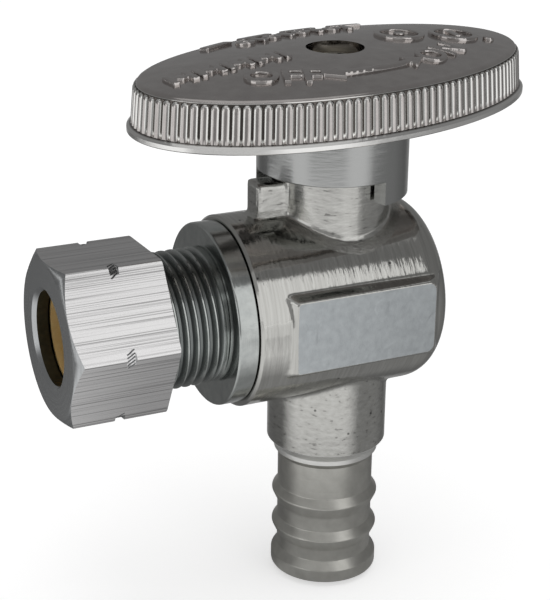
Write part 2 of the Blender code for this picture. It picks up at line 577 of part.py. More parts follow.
def make_handle(stem_axis, material):
    handle = piece("handle", handle_blank(), stem_axis, material)
    handle.rotation_euler = (0.0, 0.0, HANDLE_TURN)
    cavity = combine(handle, "DIFFERENCE", "handle_cavity_cutter", handle_cavity(), stem_axis)
    cavity.rotation_euler = (0.0, 0.0, HANDLE_TURN)
    hub_top = CAVITY_ROOF + THROUGH / 2.0
    hub = [(0.0, HUB_BASE), (HUB_RADIUS, HUB_BASE), (HUB_RADIUS, hub_top), (0.0, hub_top)]
    combine(handle, "UNION", "hub_guide", turned(hub, LARGE_SIDES), stem_axis)
    combine(handle, "UNION", "stop_skirt_guide", stop_skirt(), stem_axis)
    bore_foot = HUB_BASE - THROUGH
    bore_roof = BONNET_TOP + SEAT_GAP
    bore = [(0.0, bore_foot), (HUB_BORE, bore_foot), (HUB_BORE, bore_roof), (0.0, bore_roof)]
    combine(handle, "DIFFERENCE", "hub_bore_cutter", turned(bore, LARGE_SIDES), stem_axis)
    half = DRIVE_SIDE / 2.0 + SEAT_GAP
    drive = box((-half, -half, HUB_BASE), (half, half, DRIVE_ROOF))
    combine(handle, "DIFFERENCE", "drive_hole_cutter", drive, stem_axis)
    recess = [(0.0, DRIVE_ROOF - THROUGH), (SCREW_HOLE, DRIVE_ROOF - THROUGH), (SCREW_HOLE, RECESS_FLOOR),
              (RECESS_RADIUS, RECESS_FLOOR), (RECESS_RADIUS, CROWN_TOP + THROUGH), (0.0, CROWN_TOP + THROUGH)]
    combine(handle, "DIFFERENCE", "screw_recess_cutter", turned(recess, SMALL_SIDES), stem_axis)


def make_screw(stem_axis, material):
    top = SCREW_SEAT + SCREW_HEAD_HEIGHT
    outline = [(0.0, SCREW_TIP), (SCREW_RADIUS, SCREW_TIP), (SCREW_RADIUS, SCREW_SEAT),
               (SCREW_HEAD_RADIUS, SCREW_SEAT), (SCREW_HEAD_RADIUS, top - 2.0 * SCREW_DOME),
               (SCREW_HEAD_RADIUS - SCREW_DOME, top - SCREW_DOME / 2.0), (0.0, top)]
    screw = piece("handle_screw", turned(outline, SMALL_SIDES), stem_axis, material)
    for name, long_axis in (("cross_slot_a_cutter", 0), ("cross_slot_b_cutter", 1)):
        half = [CROSS_WIDTH / 2.0, CROSS_WIDTH / 2.0]
        half[long_axis] = CROSS_SPAN / 2.0
        slot = box((-half[0], -half[1], top - CROSS_DEPTH), (half[0], half[1], top + THROUGH))
        combine(screw, "DIFFERENCE", name, slot, stem_axis)


def build():
    clear_scene()
    stem_axis = axis_empty("stem_axis", (0.0, 0.0, 0.0))
    outlet_axis = axis_empty("outlet_axis", (0.0, -math.pi / 2.0, 0.0))
    chrome = finish("chrome_plated_brass", (0.55, 0.56, 0.57), 0.15, 1.0)
    satin_chrome = finish("satin_chrome", (0.62, 0.62, 0.63), 0.35, 1.0)
    cast_chrome = finish("chrome_plated_zinc", (0.45, 0.45, 0.46), 0.18, 1.0)
    brass = finish("brass", (0.72, 0.50, 0.20), 0.30, 1.0)
    steel = finish("zinc_plated_steel", (0.45, 0.44, 0.40), 0.40, 1.0)
    plastic = finish("white_seat_plastic", (0.85, 0.85, 0.82), 0.50, 0.0)
    rubber = finish("black_rubber", (0.02, 0.02, 0.02), 0.70, 0.0)
    make_body(stem_axis, outlet_axis, chrome)
    make_connector(outlet_axis, chrome)
    make_nut(outlet_axis, satin_chrome)
    make_ferrule(outlet_axis, brass)
    make_seals(stem_axis, outlet_axis, plastic, rubber)
    make_ball(stem_axis, outlet_axis, chrome)
    make_stem(stem_axis, brass)
    make_handle(stem_axis, cast_chrome)
    make_screw(stem_axis, steel)


build()
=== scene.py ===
# Looks of an angle stop valve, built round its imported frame.
# The frame is in metres, +Z up the stem, -X out of the outlet, with the photographed side towards -Y.
import json
import math
from functools import partial

import bmesh
import bpy
from mathutils import Matrix, Vector


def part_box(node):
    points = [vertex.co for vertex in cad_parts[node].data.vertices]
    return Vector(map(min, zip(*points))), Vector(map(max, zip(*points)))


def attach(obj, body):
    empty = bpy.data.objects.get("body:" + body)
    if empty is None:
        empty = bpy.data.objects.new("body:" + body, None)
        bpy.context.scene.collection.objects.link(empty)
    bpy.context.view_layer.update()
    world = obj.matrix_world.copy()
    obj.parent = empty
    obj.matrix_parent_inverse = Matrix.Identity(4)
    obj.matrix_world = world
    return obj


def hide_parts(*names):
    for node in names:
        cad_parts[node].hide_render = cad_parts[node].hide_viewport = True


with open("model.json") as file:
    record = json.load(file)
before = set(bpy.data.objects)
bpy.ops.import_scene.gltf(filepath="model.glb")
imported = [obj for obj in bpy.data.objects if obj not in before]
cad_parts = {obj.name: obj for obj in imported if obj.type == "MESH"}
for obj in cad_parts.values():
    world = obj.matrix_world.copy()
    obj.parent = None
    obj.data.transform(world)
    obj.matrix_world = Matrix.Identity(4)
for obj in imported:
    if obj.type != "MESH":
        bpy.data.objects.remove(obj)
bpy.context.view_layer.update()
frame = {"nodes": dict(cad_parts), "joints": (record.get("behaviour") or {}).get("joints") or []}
scene = bpy.context.scene
scene.view_settings.view_transform = "Standard"
mm = 0.001

# Sizes below are in millimetres, counted from the point where the stem's axis crosses the outlet's.
crossingHeight = next(j["pos_m"][2] for j in frame["joints"] if j["name"] == "handle_turn")
stemPlace = Matrix.Translation((0, 0, crossingHeight))
outletPlace = stemPlace @ Matrix.Rotation(-math.pi / 2, 4, "Y")  # its own +Z points out of the outlet
past = 1.0  # how far a cutter runs on beyond the surface that it opens
outerSides = 128
boreSides = 96
fullTurn = 2 * math.pi
aboutAxis = {"axis": (0, 0, 1), "cent": (0, 0, 0)}
sharpAngle = math.radians(34)


def reachOf(node):
    low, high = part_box(node)
    return -high.x / mm, -low.x / mm


def heightOf(node):
    low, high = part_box(node)
    return (low.z - crossingHeight) / mm, (high.z - crossingHeight) / mm


def atHeight(height):
    return crossingHeight + height * mm


def turnedBy(degrees):
    return Matrix.Rotation(math.radians(degrees), 4, "Z")


# Modelling helpers


def rounded(corners, steps):
    # corners are (radius, height) or (radius, height, rounding); a rounding becomes an arc
    points = []
    for i, corner in enumerate(corners):
        here = Vector(corner[:2])
        if len(corner) == 2:
            points.append(here)
            continue
        before = (Vector(corners[i - 1][:2]) - here).normalized()
        after = (Vector(corners[(i + 1) % len(corners)][:2]) - here).normalized()
        half = before.angle(after) / 2
        middle = here + (before + after).normalized() * corner[2] / math.sin(half)
        spoke = here + before * corner[2] / math.tan(half) - middle
        end = here + after * corner[2] / math.tan(half) - middle
        turn = -spoke.angle_signed(end)
        for step in range(steps + 1):
            points.append(middle + Matrix.Rotation(turn * step / steps, 2) @ spoke)
    return points


def drawn(shape, outline):
    # a line through points given as (radius, height)
    points = [shape.verts.new((radius * mm, 0, height * mm)) for radius, height in outline]
    return points, [shape.edges.new(pair) for pair in zip(points, points[1:])]


def lathe(outline, place, sides):
    # an outline from axis to axis gives a solid, a closed one off the axis gives a ring
    shape = bmesh.new()
    points, edges = drawn(shape, outline)
    if outline[0][0] > 0:
        edges.append(shape.edges.new((points[-1], points[0])))
    bmesh.ops.spin(shape, geom=points + edges, **aboutAxis, angle=fullTurn, steps=sides, use_merge=True)
    return settled(shape, place)


def turnedSolid(corners, place, sides=outerSides, steps=4):
    # the outline is led in to the axis from its first and last corner
    closed = [(0, corners[0][1]), *corners, (0, corners[-1][1])]
    return lathe(rounded(closed, steps), place, sides)


def bevelEdges(shape, edges, size):
    bmesh.ops.bevel(shape, geom=edges, offset=size * mm, segments=2, profile=0.5, affect="EDGES", material=-1)


def block(low, high, place, edge=0):
    shape = bmesh.new()
    size = [(b - a) * mm for a, b in zip(low, high)]
    middle = [(a + b) / 2 * mm for a, b in zip(low, high)]
    bmesh.ops.create_cube(shape, size=1, matrix=Matrix.Translation(middle) @ Matrix.Diagonal((*size, 1)))
    if edge:
        bevelEdges(shape, shape.edges[:], edge)
    return settled(shape, place)


def pointsOf(geometry):
    return [item for item in geometry if isinstance(item, bmesh.types.BMVert)]


def settled(shape, place):
    bmesh.ops.remove_doubles(shape, verts=shape.verts, dist=1e-7)
    bmesh.ops.recalc_face_normals(shape, faces=shape.faces)
    bmesh.ops.transform(shape, matrix=place, verts=shape.verts)
    return shape


def temporary(shape, name="temporary"):
    mesh = bpy.data.meshes.new(name)
    shape.to_mesh(mesh)
    shape.free()
    item = bpy.data.objects.new(name, mesh)
    scene.collection.objects.link(item)
    return item


def applied(item, helpers=()):
    bpy.context.view_layer.update()
    shape = bmesh.new()
    shape.from_object(item, bpy.context.evaluated_depsgraph_get())
    for used in (item, *helpers):
        bpy.data.objects.remove(used)
    return shape


def combined(base, operation, *tools):
    item = temporary(base)
    helpers = [temporary(tool) for tool in tools]
    for helper in helpers:
        step = item.modifiers.new("combine", "BOOLEAN")
        step.operation = operation
        step.solver = "MANIFOLD"
        step.object = helper
    return applied(item, helpers)


def softened(shape, voxel, rounds):
    # one even skin over joined solids, with the fillets that a casting has where they meet
    item = temporary(shape)
    skin = item.modifiers.new("skin", "REMESH")
    skin.mode = "VOXEL"
    skin.voxel_size = voxel * mm
    smooth = item.modifiers.new("smooth", "SMOOTH")
    smooth.factor = 0.5
    smooth.iterations = rounds
    return applied(item)


def addPiece(name, shape, body, finishes, node):
    item = temporary(shape, name)
    mesh = item.data
    mesh.shade_smooth()
    mesh.set_sharp_from_angle(angle=sharpAngle)
    for finish in finishes:
        mesh.materials.append(finish)
    normals = item.modifiers.new("normals", "WEIGHTED_NORMAL")  # flats stay flat beside their small bevels
    normals.keep_sharp = True
    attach(item, body)
    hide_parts(node)
    print("piece", name, len(mesh.polygons), "faces")
    return item


# Material helpers


def linear(hexColor):
    parts = [int(hexColor[i:i + 2], 16) / 255 for i in (1, 3, 5)]
    return (*[c / 12.92 if c <= 0.04045 else ((c + 0.055) / 1.055) ** 2.4 for c in parts], 1)


def perSize(*sizes):
    scales = [1 / (size * mm) for size in sizes]
    return scales if len(scales) > 1 else scales[0]


def setInputs(tree, node, inputs):
    # a dictionary names the sockets and a tuple fills them in order, in both cases only those in use
    sockets = [socket for socket in node.inputs if socket.enabled]
    if isinstance(inputs, dict):
        names = [socket.name for socket in sockets]
        sockets = [sockets[names.index(name)] for name in inputs]
        inputs = inputs.values()
    for socket, value in zip(sockets, inputs):
        if isinstance(value, bpy.types.NodeSocket):
            tree.links.new(value, socket)
        else:
            socket.default_value = linear(value) if isinstance(value, str) else value


def addNode(tree, kind, inputs=(), **settings):
    # gives the node's first output in use
    node = tree.nodes.new("ShaderNode" + kind)
    for name, value in settings.items():
        setattr(node, name, value)
    setInputs(tree, node, inputs)
    return next((output for output in node.outputs if output.enabled), None)


def startFinish(name):
    finish = bpy.data.materials.new(name)
    finish.use_nodes = True
    add = partial(addNode, finish.node_tree)
    return finish, add, add("TexCoord").node.outputs["Object"]


def dressed(finish, inputs):
    setInputs(finish.node_tree, finish.node_tree.nodes["Principled BSDF"], inputs)
    return finish


def grainedFinish(name, grainSize, detail, dark, light, inputs):
    # two shades in an even grain
    finish, add, place = startFinish(name)
    grain = add("TexNoise", {"Vector": place, "Scale": perSize(grainSize), "Detail": detail})
    shade = add("Mix", (grain, dark, light), data_type="RGBA")
    return dressed(finish, {"Base Color": shade, **inputs})


def turnedGrain(add, place, rings, cloudSize, detail, colors, depth):
    # a cloudy film over the fine rings that a lathe leaves
    stretched = add("Mapping", {"Vector": place, "Scale": perSize(*rings)})
    ring = add("TexNoise", {"Vector": stretched, "Scale": 1, "Detail": 2})
    cloud = add("TexNoise", {"Vector": place, "Scale": perSize(cloudSize), "Detail": detail})
    shade = add("Mix", (cloud, *colors), data_type="RGBA")
    height = add("Math", (ring, cloud), operation="ADD")
    return shade, add("Bump", {"Strength": 0.7, "Distance": depth * mm, "Height": height})


def outletRadius(add, place):
    centred = add("VectorMath", (place, (0, 0, crossingHeight)), operation="SUBTRACT")
    across = add("VectorMath", (centred, (0, 1, 1)), operation="MULTIPLY")
    return add("VectorMath", (across,), operation="LENGTH")


# Valve body: one casting with its barb turned and its bores drilled afterwards
bodySizes = {
    "barrelRadius": 10.1, "endFillet": 3.0, "spareFront": 2.0, "mouthBevel": 0.25, "mouthReach": 0.22,
    "neckRadius": 6.5, "bonnetRadius": 6.0, "bonnetTop": 15.2,
    "lugReach": 9.12, "lugHalf": 1.5, "lugTop": 13.67, "lugFoot": 5.0, "lugEdge": 0.25,
    "padFace": 10.3, "padHalf": 3.9, "padFront": 8.6, "padBack": 2.5, "padRoot": 7.0, "padSlant": (2.0, 1.4),
    "padSpare": 0.06, "padReach": 11.25, "padRound": 4.5, "millReach": (12, 8), "filletSteps": 10,
    "skin": 0.2, "smoothing": 9,
}
barbSizes = {
    "ribRadius": 5.9, "rootRadius": 5.25, "landRadius": 5.7, "endLand": 1.5, "firstRib": 5.14,
    "ribPitch": 4.04, "ribRise": 0.9, "ribFall": 1.4, "shoulder": 13.9, "stepTop": 14.5, "landTop": 15.0,
    "coneTop": 16.0, "coneSpread": 2.0, "ribRound": 0.33, "rootRound": 0.8, "creaseRound": 0.2,
    "endRound": 0.35, "bore": 4.4, "boreChamfer": 0.3,
}
boreSizes = {"chamber": 6.4, "chamberEnd": 6.41, "plug": 7.5, "groove": 8.5, "grooveDepth": 1.15,
             "stemPocket": 4.9, "thrustFace": 8.4, "stem": 3.6}
# streak widths run along x, y and z, first on the barrel and then on the neck and bonnet
castLook = {
    "stemSide": (7.3 * mm, 6.3 * mm), "barrelTop": (atHeight(10.2), atHeight(10.8)), "swell": 3, "pits": 2.4,
    "streaks": (((0.25, 6, 6), (1.2, 1.2, 0.3)), ((0.4, 1.8, 1.8), (1.1, 1.1, 0.55))),
    "shoulder": (16.05 * mm, 15.95 * mm), "shoulderRoughness": 0.4,
}


def polishedChromeOnCastBrass():
    # bright plating over a hand-polished casting: mirror-like, with ragged streaks from the polishing wheel
    s = castLook
    finish, add, place = startFinish("polishedChromeOnCastBrass")
    axes = add("SeparateXYZ", (place,)).node.outputs
    flat = add("CombineXYZ", (axes["X"], axes["Y"]))
    fromStem = add("VectorMath", (flat,), operation="LENGTH")
    nearStem = add("MapRange", (fromStem, *s["stemSide"]))
    aboveBarrel = add("MapRange", (axes["Z"], *s["barrelTop"]))
    upright = add("Math", (nearStem, aboveBarrel), operation="MAXIMUM")
    lines = []
    for onBarrel, onUpright in s["streaks"]:
        scale = add("Mix", (upright, perSize(*onBarrel), perSize(*onUpright)), data_type="VECTOR")
        stretched = add("VectorMath", (place, scale), operation="MULTIPLY")
        lines.append(add("TexNoise", {"Vector": stretched, "Scale": 1, "Detail": 3}))
    fine, ragged = lines
    swell = add("TexNoise", {"Vector": place, "Scale": perSize(s["swell"]), "Detail": 2})
    height = add("Math", (fine, 0.2, ragged), operation="MULTIPLY_ADD")
    height = add("Math", (swell, 1.5, height), operation="MULTIPLY_ADD")
    bump = add("Bump", {"Strength": 0.8, "Distance": 0.03 * mm, "Height": height})
    shade = add("Mix", (fine, "#a8a7a3", "#d5d5d1"), data_type="RGBA")
    dash = add("MapRange", (fine, 0.355, 0.31, 0, 0.55))  # dark dashes in the deepest streaks
    dash = add("Math", (dash, upright), operation="MULTIPLY")
    shade = add("Mix", (dash, shade, "#4c4b49"), data_type="RGBA")
    shoulder = add("MapRange", (axes["Z"], *s["shoulder"]))  # turned, so dull; its lighter colour is a painted highlight
    shade = add("Mix", (shoulder, shade, "#f0f0ed"), data_type="RGBA")
    pit = add("TexVoronoi", {"Vector": place, "Scale": perSize(s["pits"])})
    pitted = add("MapRange", (pit, 0.045, 0.075, 0.75, 0))
    shade = add("Mix", (pitted, shade, "#2b2926"), data_type="RGBA")
    rough = add("MapRange", (upright, 0, 1, 0.1, 0.2))
    rough = add("Mix", (shoulder, rough, s["shoulderRoughness"]))
    return dressed(finish, {"Metallic": 1, "Base Color": shade, "Roughness": rough, "Normal": bump})


def satinChromePad():
    # milled flat under the same plating: soft, bluish and evenly grey, with a few shallow dents
    finish, add, place = startFinish("satinChromePad")
    grain = add("TexNoise", {"Vector": place, "Scale": perSize(0.7), "Detail": 5})
    swirl = add("TexNoise", {"Vector": place, "Scale": perSize(3.5), "Detail": 1, "Distortion": 0.5})
    dent = add("MapRange", (swirl, 0.6, 0.66), interpolation_type="SMOOTHSTEP")
    height = add("Math", (dent, 0.5, grain), operation="MULTIPLY_ADD")
    shade = add("Mix", (grain, "#afb4b7", "#d0d5d7"), data_type="RGBA")
    bump = add("Bump", {"Strength": 0.8, "Distance": 0.03 * mm, "Height": height})
    return dressed(finish, {"Metallic": 1, "Roughness": 0.42, "Base Color": shade, "Normal": bump})


def turnedNickelBarb():
    # turned and thinly plated: satin grey with a warm cast and fine rings
    finish, add, place = startFinish("turnedNickelBarb")
    shade, bump = turnedGrain(add, place, (8, 8, 0.2), 1.2, 5, ("#b1b0aa", "#d5d4ce"), 0.015)
    return dressed(finish, {"Metallic": 1, "Roughness": 0.35, "Base Color": shade, "Normal": bump})


def makePad(turn, back):
    # a wrench flat stands proud of the barrel with slanted sides, rounded off with the barrel's closed end
    s = bodySizes
    shape = block((-s["padFront"], s["padRoot"], -s["padHalf"]),
                  (-back - s["padBack"], s["padFace"] + s["padSpare"], s["padHalf"]), Matrix())
    for vert in shape.verts:
        if vert.co.y < s["padFace"] * mm:
            vert.co.x += math.copysign(s["padSlant"][0] * mm, vert.co.x)
            vert.co.z += math.copysign(s["padSlant"][1] * mm, vert.co.z)
    limit = turnedSolid([(s["padReach"], back, s["padRound"]), (s["padReach"], s["padFront"] + 3 * past)],
                        outletPlace, steps=s["filletSteps"])
    return combined(settled(shape, stemPlace @ Matrix.Rotation(turn, 4, "X")), "INTERSECT", limit)


def makeCasting(back, openEnd, end):
    s = bodySizes
    radius = s["barrelRadius"]
    barrel = turnedSolid([(radius, back, s["endFillet"]), (radius, openEnd)], outletPlace,
                         steps=s["filletSteps"])
    upright = turnedSolid([(s["neckRadius"], end - past), (s["neckRadius"], 0), (s["bonnetRadius"], 0),
                           (s["bonnetRadius"], s["bonnetTop"])], stemPlace)
    lug = block((-s["lugReach"], -s["lugHalf"], s["lugFoot"]), (-s["lugFoot"], s["lugHalf"], s["lugTop"]),
                stemPlace, s["lugEdge"])
    cast = combined(barrel, "UNION", upright, lug, makePad(0, back), makePad(math.pi, back))
    return softened(cast, s["skin"], s["smoothing"])


def makeBarbCutter(end):
    # what the lathe takes off the cast neck; the cone over the shoulder is carried on past the neck
    b = barbSizes
    root = b["rootRadius"]
    outline = [(b["ribRadius"], end, b["endRound"]), (b["ribRadius"], end + b["endLand"], b["ribRound"]),
               (root, end + b["endLand"] + b["ribRise"], b["creaseRound"])]
    for peak in (end + b["firstRib"], end + b["firstRib"] + b["ribPitch"]):
        outline += [(root, peak - b["ribFall"], b["rootRound"]), (b["ribRadius"], peak, b["ribRound"]),
                    (root, peak + b["ribRise"], b["creaseRound"])]
    neck = bodySizes["neckRadius"]
    slope = (b["coneTop"] - b["landTop"]) / (neck - b["landRadius"])
    coneEnd = end + b["coneTop"] + b["coneSpread"] * slope
    outline += [(root, end + b["shoulder"]), (b["landRadius"], end + b["stepTop"]),
                (b["landRadius"], end + b["landTop"]), (neck + b["coneSpread"], coneEnd),
                (neck + 2 * b["coneSpread"], coneEnd), (neck + 2 * b["coneSpread"], end - 3 * past)]
    return turnedSolid(outline, stemPlace)


def makeBody():
    s = bodySizes
    b = barbSizes
    c = boreSizes
    back, front = reachOf("valve_body")
    end = heightOf("valve_body")[0]
    openEnd = front + s["spareFront"]
    cast = makeCasting(back, openEnd, end)

    mouth = s["barrelRadius"] - s["mouthBevel"]
    mouthEnd = front + s["mouthReach"]
    grooveFloor = front - c["grooveDepth"]
    outletCutter = turnedSolid([(c["chamber"], -c["chamberEnd"]), (c["chamber"], c["chamberEnd"]),
                                (c["plug"], c["chamberEnd"]), (c["plug"], grooveFloor),
                                (c["groove"], grooveFloor), (c["groove"], mouthEnd), (mouth, mouthEnd),
                                (mouth + past, mouthEnd - past), (mouth + 3 * past, mouthEnd - past),
                                (mouth + 3 * past, openEnd + past)], outletPlace)
    uprightCutter = turnedSolid([(b["bore"] + b["boreChamfer"] + past, end - past),
                                 (b["bore"], end + b["boreChamfer"]), (b["bore"], 0), (c["stemPocket"], 0),
                                 (c["stemPocket"], c["thrustFace"]), (c["stem"], c["thrustFace"]),
                                 (c["stem"], s["bonnetTop"] + past)], stemPlace, boreSides)
    wide, tall = s["millReach"]
    flat, beyond = s["padFace"], s["padFace"] + 3 * past
    millCut = [block((-wide, side * flat, -tall), (wide, side * beyond, tall), stemPlace) for side in (-1, 1)]
    cast = combined(cast, "DIFFERENCE", makeBarbCutter(end), outletCutter, uprightCutter, *millCut)

    slack = 0.02
    for face in cast.faces:
        middle = face.calc_center_median()
        if abs(face.normal.y) > 0.99 and abs(middle.y) > (flat - slack) * mm:
            face.material_index = 1
        elif middle.z < atHeight(end + b["stepTop"] - slack):
            face.material_index = 2
        else:
            face.material_index = 0
    finishes = [castChrome, satinChromePad(), turnedNickelBarb()]
    addPiece("castBody", cast, "valve", finishes, "valve_body")


castChrome = polishedChromeOnCastBrass()
makeBody()

# Outlet connector: collar, outlet thread and the tube's socket
threadSizes = {"pitch": 1.058, "crest": 7.14, "crestShare": 1 / 8, "rootShare": 1 / 4, "stepsPerTurn": 72,
               "phase": 0.37}
connectorSizes = {
    "seam": 0.3, "plugRadius": 7.2, "collarRadius": 9.6, "collarLength": 2.15, "collarEdge": 0.25,
    "collarBack": 0.1, "runOut": 7.0, "runOutEnd": 6.5, "runOutLength": 0.45,
    "waterway": 3.3, "socket": 4.86, "socketDepth": 8.0, "mouth": 5.5, "mouthEnd": 6.2, "mouthDepth": 1.5,
}


def chromeOnTurnedBrass():
    # bright plating over turned work: the thread's roots are rough and painted darker as shade, crests and
    # collar are polished
    finish, add, place = startFinish("chromeOnTurnedBrass")
    proud = add("MapRange", (outletRadius(add, place), 6.75 * mm, 7.15 * mm))
    shade, bump = turnedGrain(add, place, (0.15, 9, 9), 0.9, 4, ("#a2a6a5", "#cdd0cd"), 0.01)
    # darker roots: painted shade in the thread's grooves
    shade = add("Mix", (proud, "#7f8382", shade), data_type="RGBA")
    rough = add("MapRange", (proud, 0, 1, 0.34, 0.15))
    return dressed(finish, {"Metallic": 1, "Base Color": shade, "Roughness": rough, "Normal": bump})


def threadedRod(crest, start, end):
    # a tooth with flanks at 60 degrees is wound up past both ends, and then cut to length
    t = threadSizes
    pitch = t["pitch"]
    flank = pitch * (1 - t["crestShare"] - t["rootShare"]) / 2
    root = crest - flank * math.sqrt(3)
    base = (math.floor(start / pitch) - 1) * pitch - t["phase"]
    turns = math.ceil((end - base) / pitch) + 1
    rise = pitch * t["rootShare"]
    crestEnd = rise + flank + pitch * t["crestShare"]
    tooth = [(root, 0), (root, rise), (crest, rise + flank), (crest, crestEnd), (root, pitch)]
    shape = bmesh.new()
    points, edges = drawn(shape, [(radius, base + height) for radius, height in tooth])
    bmesh.ops.spin(shape, geom=points + edges, **aboutAxis, angle=fullTurn * turns,
                   dvec=(0, 0, pitch * mm / t["stepsPerTurn"]), steps=t["stepsPerTurn"] * turns)
    bmesh.ops.remove_doubles(shape, verts=shape.verts, dist=1e-7)
    for height, below in ((start, True), (end, False)):
        bmesh.ops.bisect_plane(shape, geom=shape.verts[:] + shape.edges[:] + shape.faces[:], dist=1e-7,
                               plane_co=(0, 0, height * mm), plane_no=(0, 0, 1),
                               clear_inner=below, clear_outer=not below)
    bmesh.ops.edgeloop_fill(shape, edges=[edge for edge in shape.edges if edge.is_boundary])
    return settled(shape, outletPlace)


def makeConnector():
    s = connectorSizes
    plugFace, spigotEnd = reachOf("outlet_connector")
    collarFace = reachOf("valve_body")[1] + s["seam"]
    collarFront = collarFace + s["collarLength"]
    landEnd = collarFront + s["runOutLength"]
    blank = turnedSolid([(s["plugRadius"], plugFace), (s["plugRadius"], collarFace),
                         (s["collarRadius"], collarFace, s["collarBack"]),
                         (s["collarRadius"], collarFront, s["collarEdge"]), (s["runOut"], collarFront),
                         (s["runOut"], landEnd), (s["runOutEnd"], landEnd + s["runOutLength"])], outletPlace)
    thread = threadedRod(threadSizes["crest"], collarFront - s["collarLength"] / 2, spigotEnd)
    socketFloor = spigotEnd - s["socketDepth"]
    mouthFloor = spigotEnd - s["mouthDepth"]
    bore = turnedSolid([(s["waterway"], plugFace - past), (s["waterway"], socketFloor),
                        (s["socket"], socketFloor), (s["socket"], mouthFloor), (s["mouth"], mouthFloor),
                        (s["mouthEnd"], spigotEnd), (s["mouthEnd"], spigotEnd + past)],
                       outletPlace, boreSides)
    shape = combined(combined(blank, "UNION", thread), "DIFFERENCE", bore)
    addPiece("threadedConnector", shape, "valve", [chromeOnTurnedBrass()], "outlet_connector")


makeConnector()

# Compression nut: chamfered hexagon with knurled dents on its corners
nutSizes = {
    "halfFlats": 8.09, "turn": 2.73, "faceRadius": 7.99, "chamfer": 30, "backEdge": 0.15, "edge": 0.1,
    "hole": 4.86, "holeChamfer": 0.4, "threadGap": 0.15, "web": 1.6, "coneFoot": 5.5, "coneEnd": 6.62,
    "coneSlope": 0.4706, "dentPlace": 5.6, "dentWidth": 0.95, "dentDepth": 0.36, "dentFlare": 0.15,
    "toothDepth": 0.66, "tooth": 0.16, "teeth": 5, "toothPitch": 0.36, "toothSlant": 32,
}


def chromeOnDrawnHexBar():
    # plated bar stock: the drawing die leaves straight fine lines along its length
    finish, add, place = startFinish("chromeOnDrawnHexBar")
    lines = []
    for length, width in ((40, 0.13), (22, 0.3)):
        along = add("Mapping", {"Vector": place, "Scale": perSize(length, width, width)})
        lines.append(add("TexNoise", {"Vector": along, "Scale": 1, "Detail": 3}))
    fine, broad = lines
    height = add("Math", (broad, 0.4, fine), operation="MULTIPLY_ADD")
    contrast = add("MapRange", (height, 0.52, 0.7))
    shade = add("Mix", (contrast, "#a5a4a4", "#e7e6e6"), data_type="RGBA")
    bump = add("Bump", {"Strength": 0.7, "Distance": 0.002 * mm, "Height": height})
    return dressed(finish, {"Metallic": 1, "Roughness": 0.2, "Base Color": shade, "Normal": bump})


def facedChrome():
    # the nut's front was faced on a lathe: smooth satin with faint rings
    finish, add, place = startFinish("facedChrome")
    radius = outletRadius(add, place)
    rings = add("TexNoise", {"W": radius, "Scale": perSize(0.25), "Detail": 2}, noise_dimensions="1D")
    shade = add("Mix", (rings, "#a9abac", "#c3c5c6"), data_type="RGBA")
    return dressed(finish, {"Metallic": 1, "Roughness": 0.24, "Base Color": shade})


def makeDents(front, corner, place):
    # a narrow knurling wheel bit a lens-shaped dent with slanted teeth into each corner
    s = nutSizes
    middle = front - s["dentPlace"]
    half = s["dentWidth"] / 2
    inner = corner - s["dentDepth"]
    outer = corner + past
    band = lathe([(inner, middle - half), (outer, middle - half - s["dentFlare"]),
                  (outer, middle + half + s["dentFlare"]), (inner, middle + half)], outletPlace, boreSides)
    slant = Matrix.Rotation(math.radians(s["toothSlant"]), 4, "X")
    size = Matrix.Diagonal((s["toothDepth"] * mm, s["tooth"] * mm, s["dentWidth"] * mm, 1))
    teeth = bmesh.new()
    for number in range(6):
        towardsCorner = turnedBy(90 + 60 * number)
        for tooth in range(s["teeth"]):
            across = (tooth - (s["teeth"] - 1) / 2) * s["toothPitch"]
            spot = Matrix.Translation(((corner - s["toothDepth"] / 2) * mm, across * mm, middle * mm))
            bmesh.ops.create_cube(teeth, size=1, matrix=towardsCorner @ spot @ slant @ size)
    return band, settled(teeth, place)


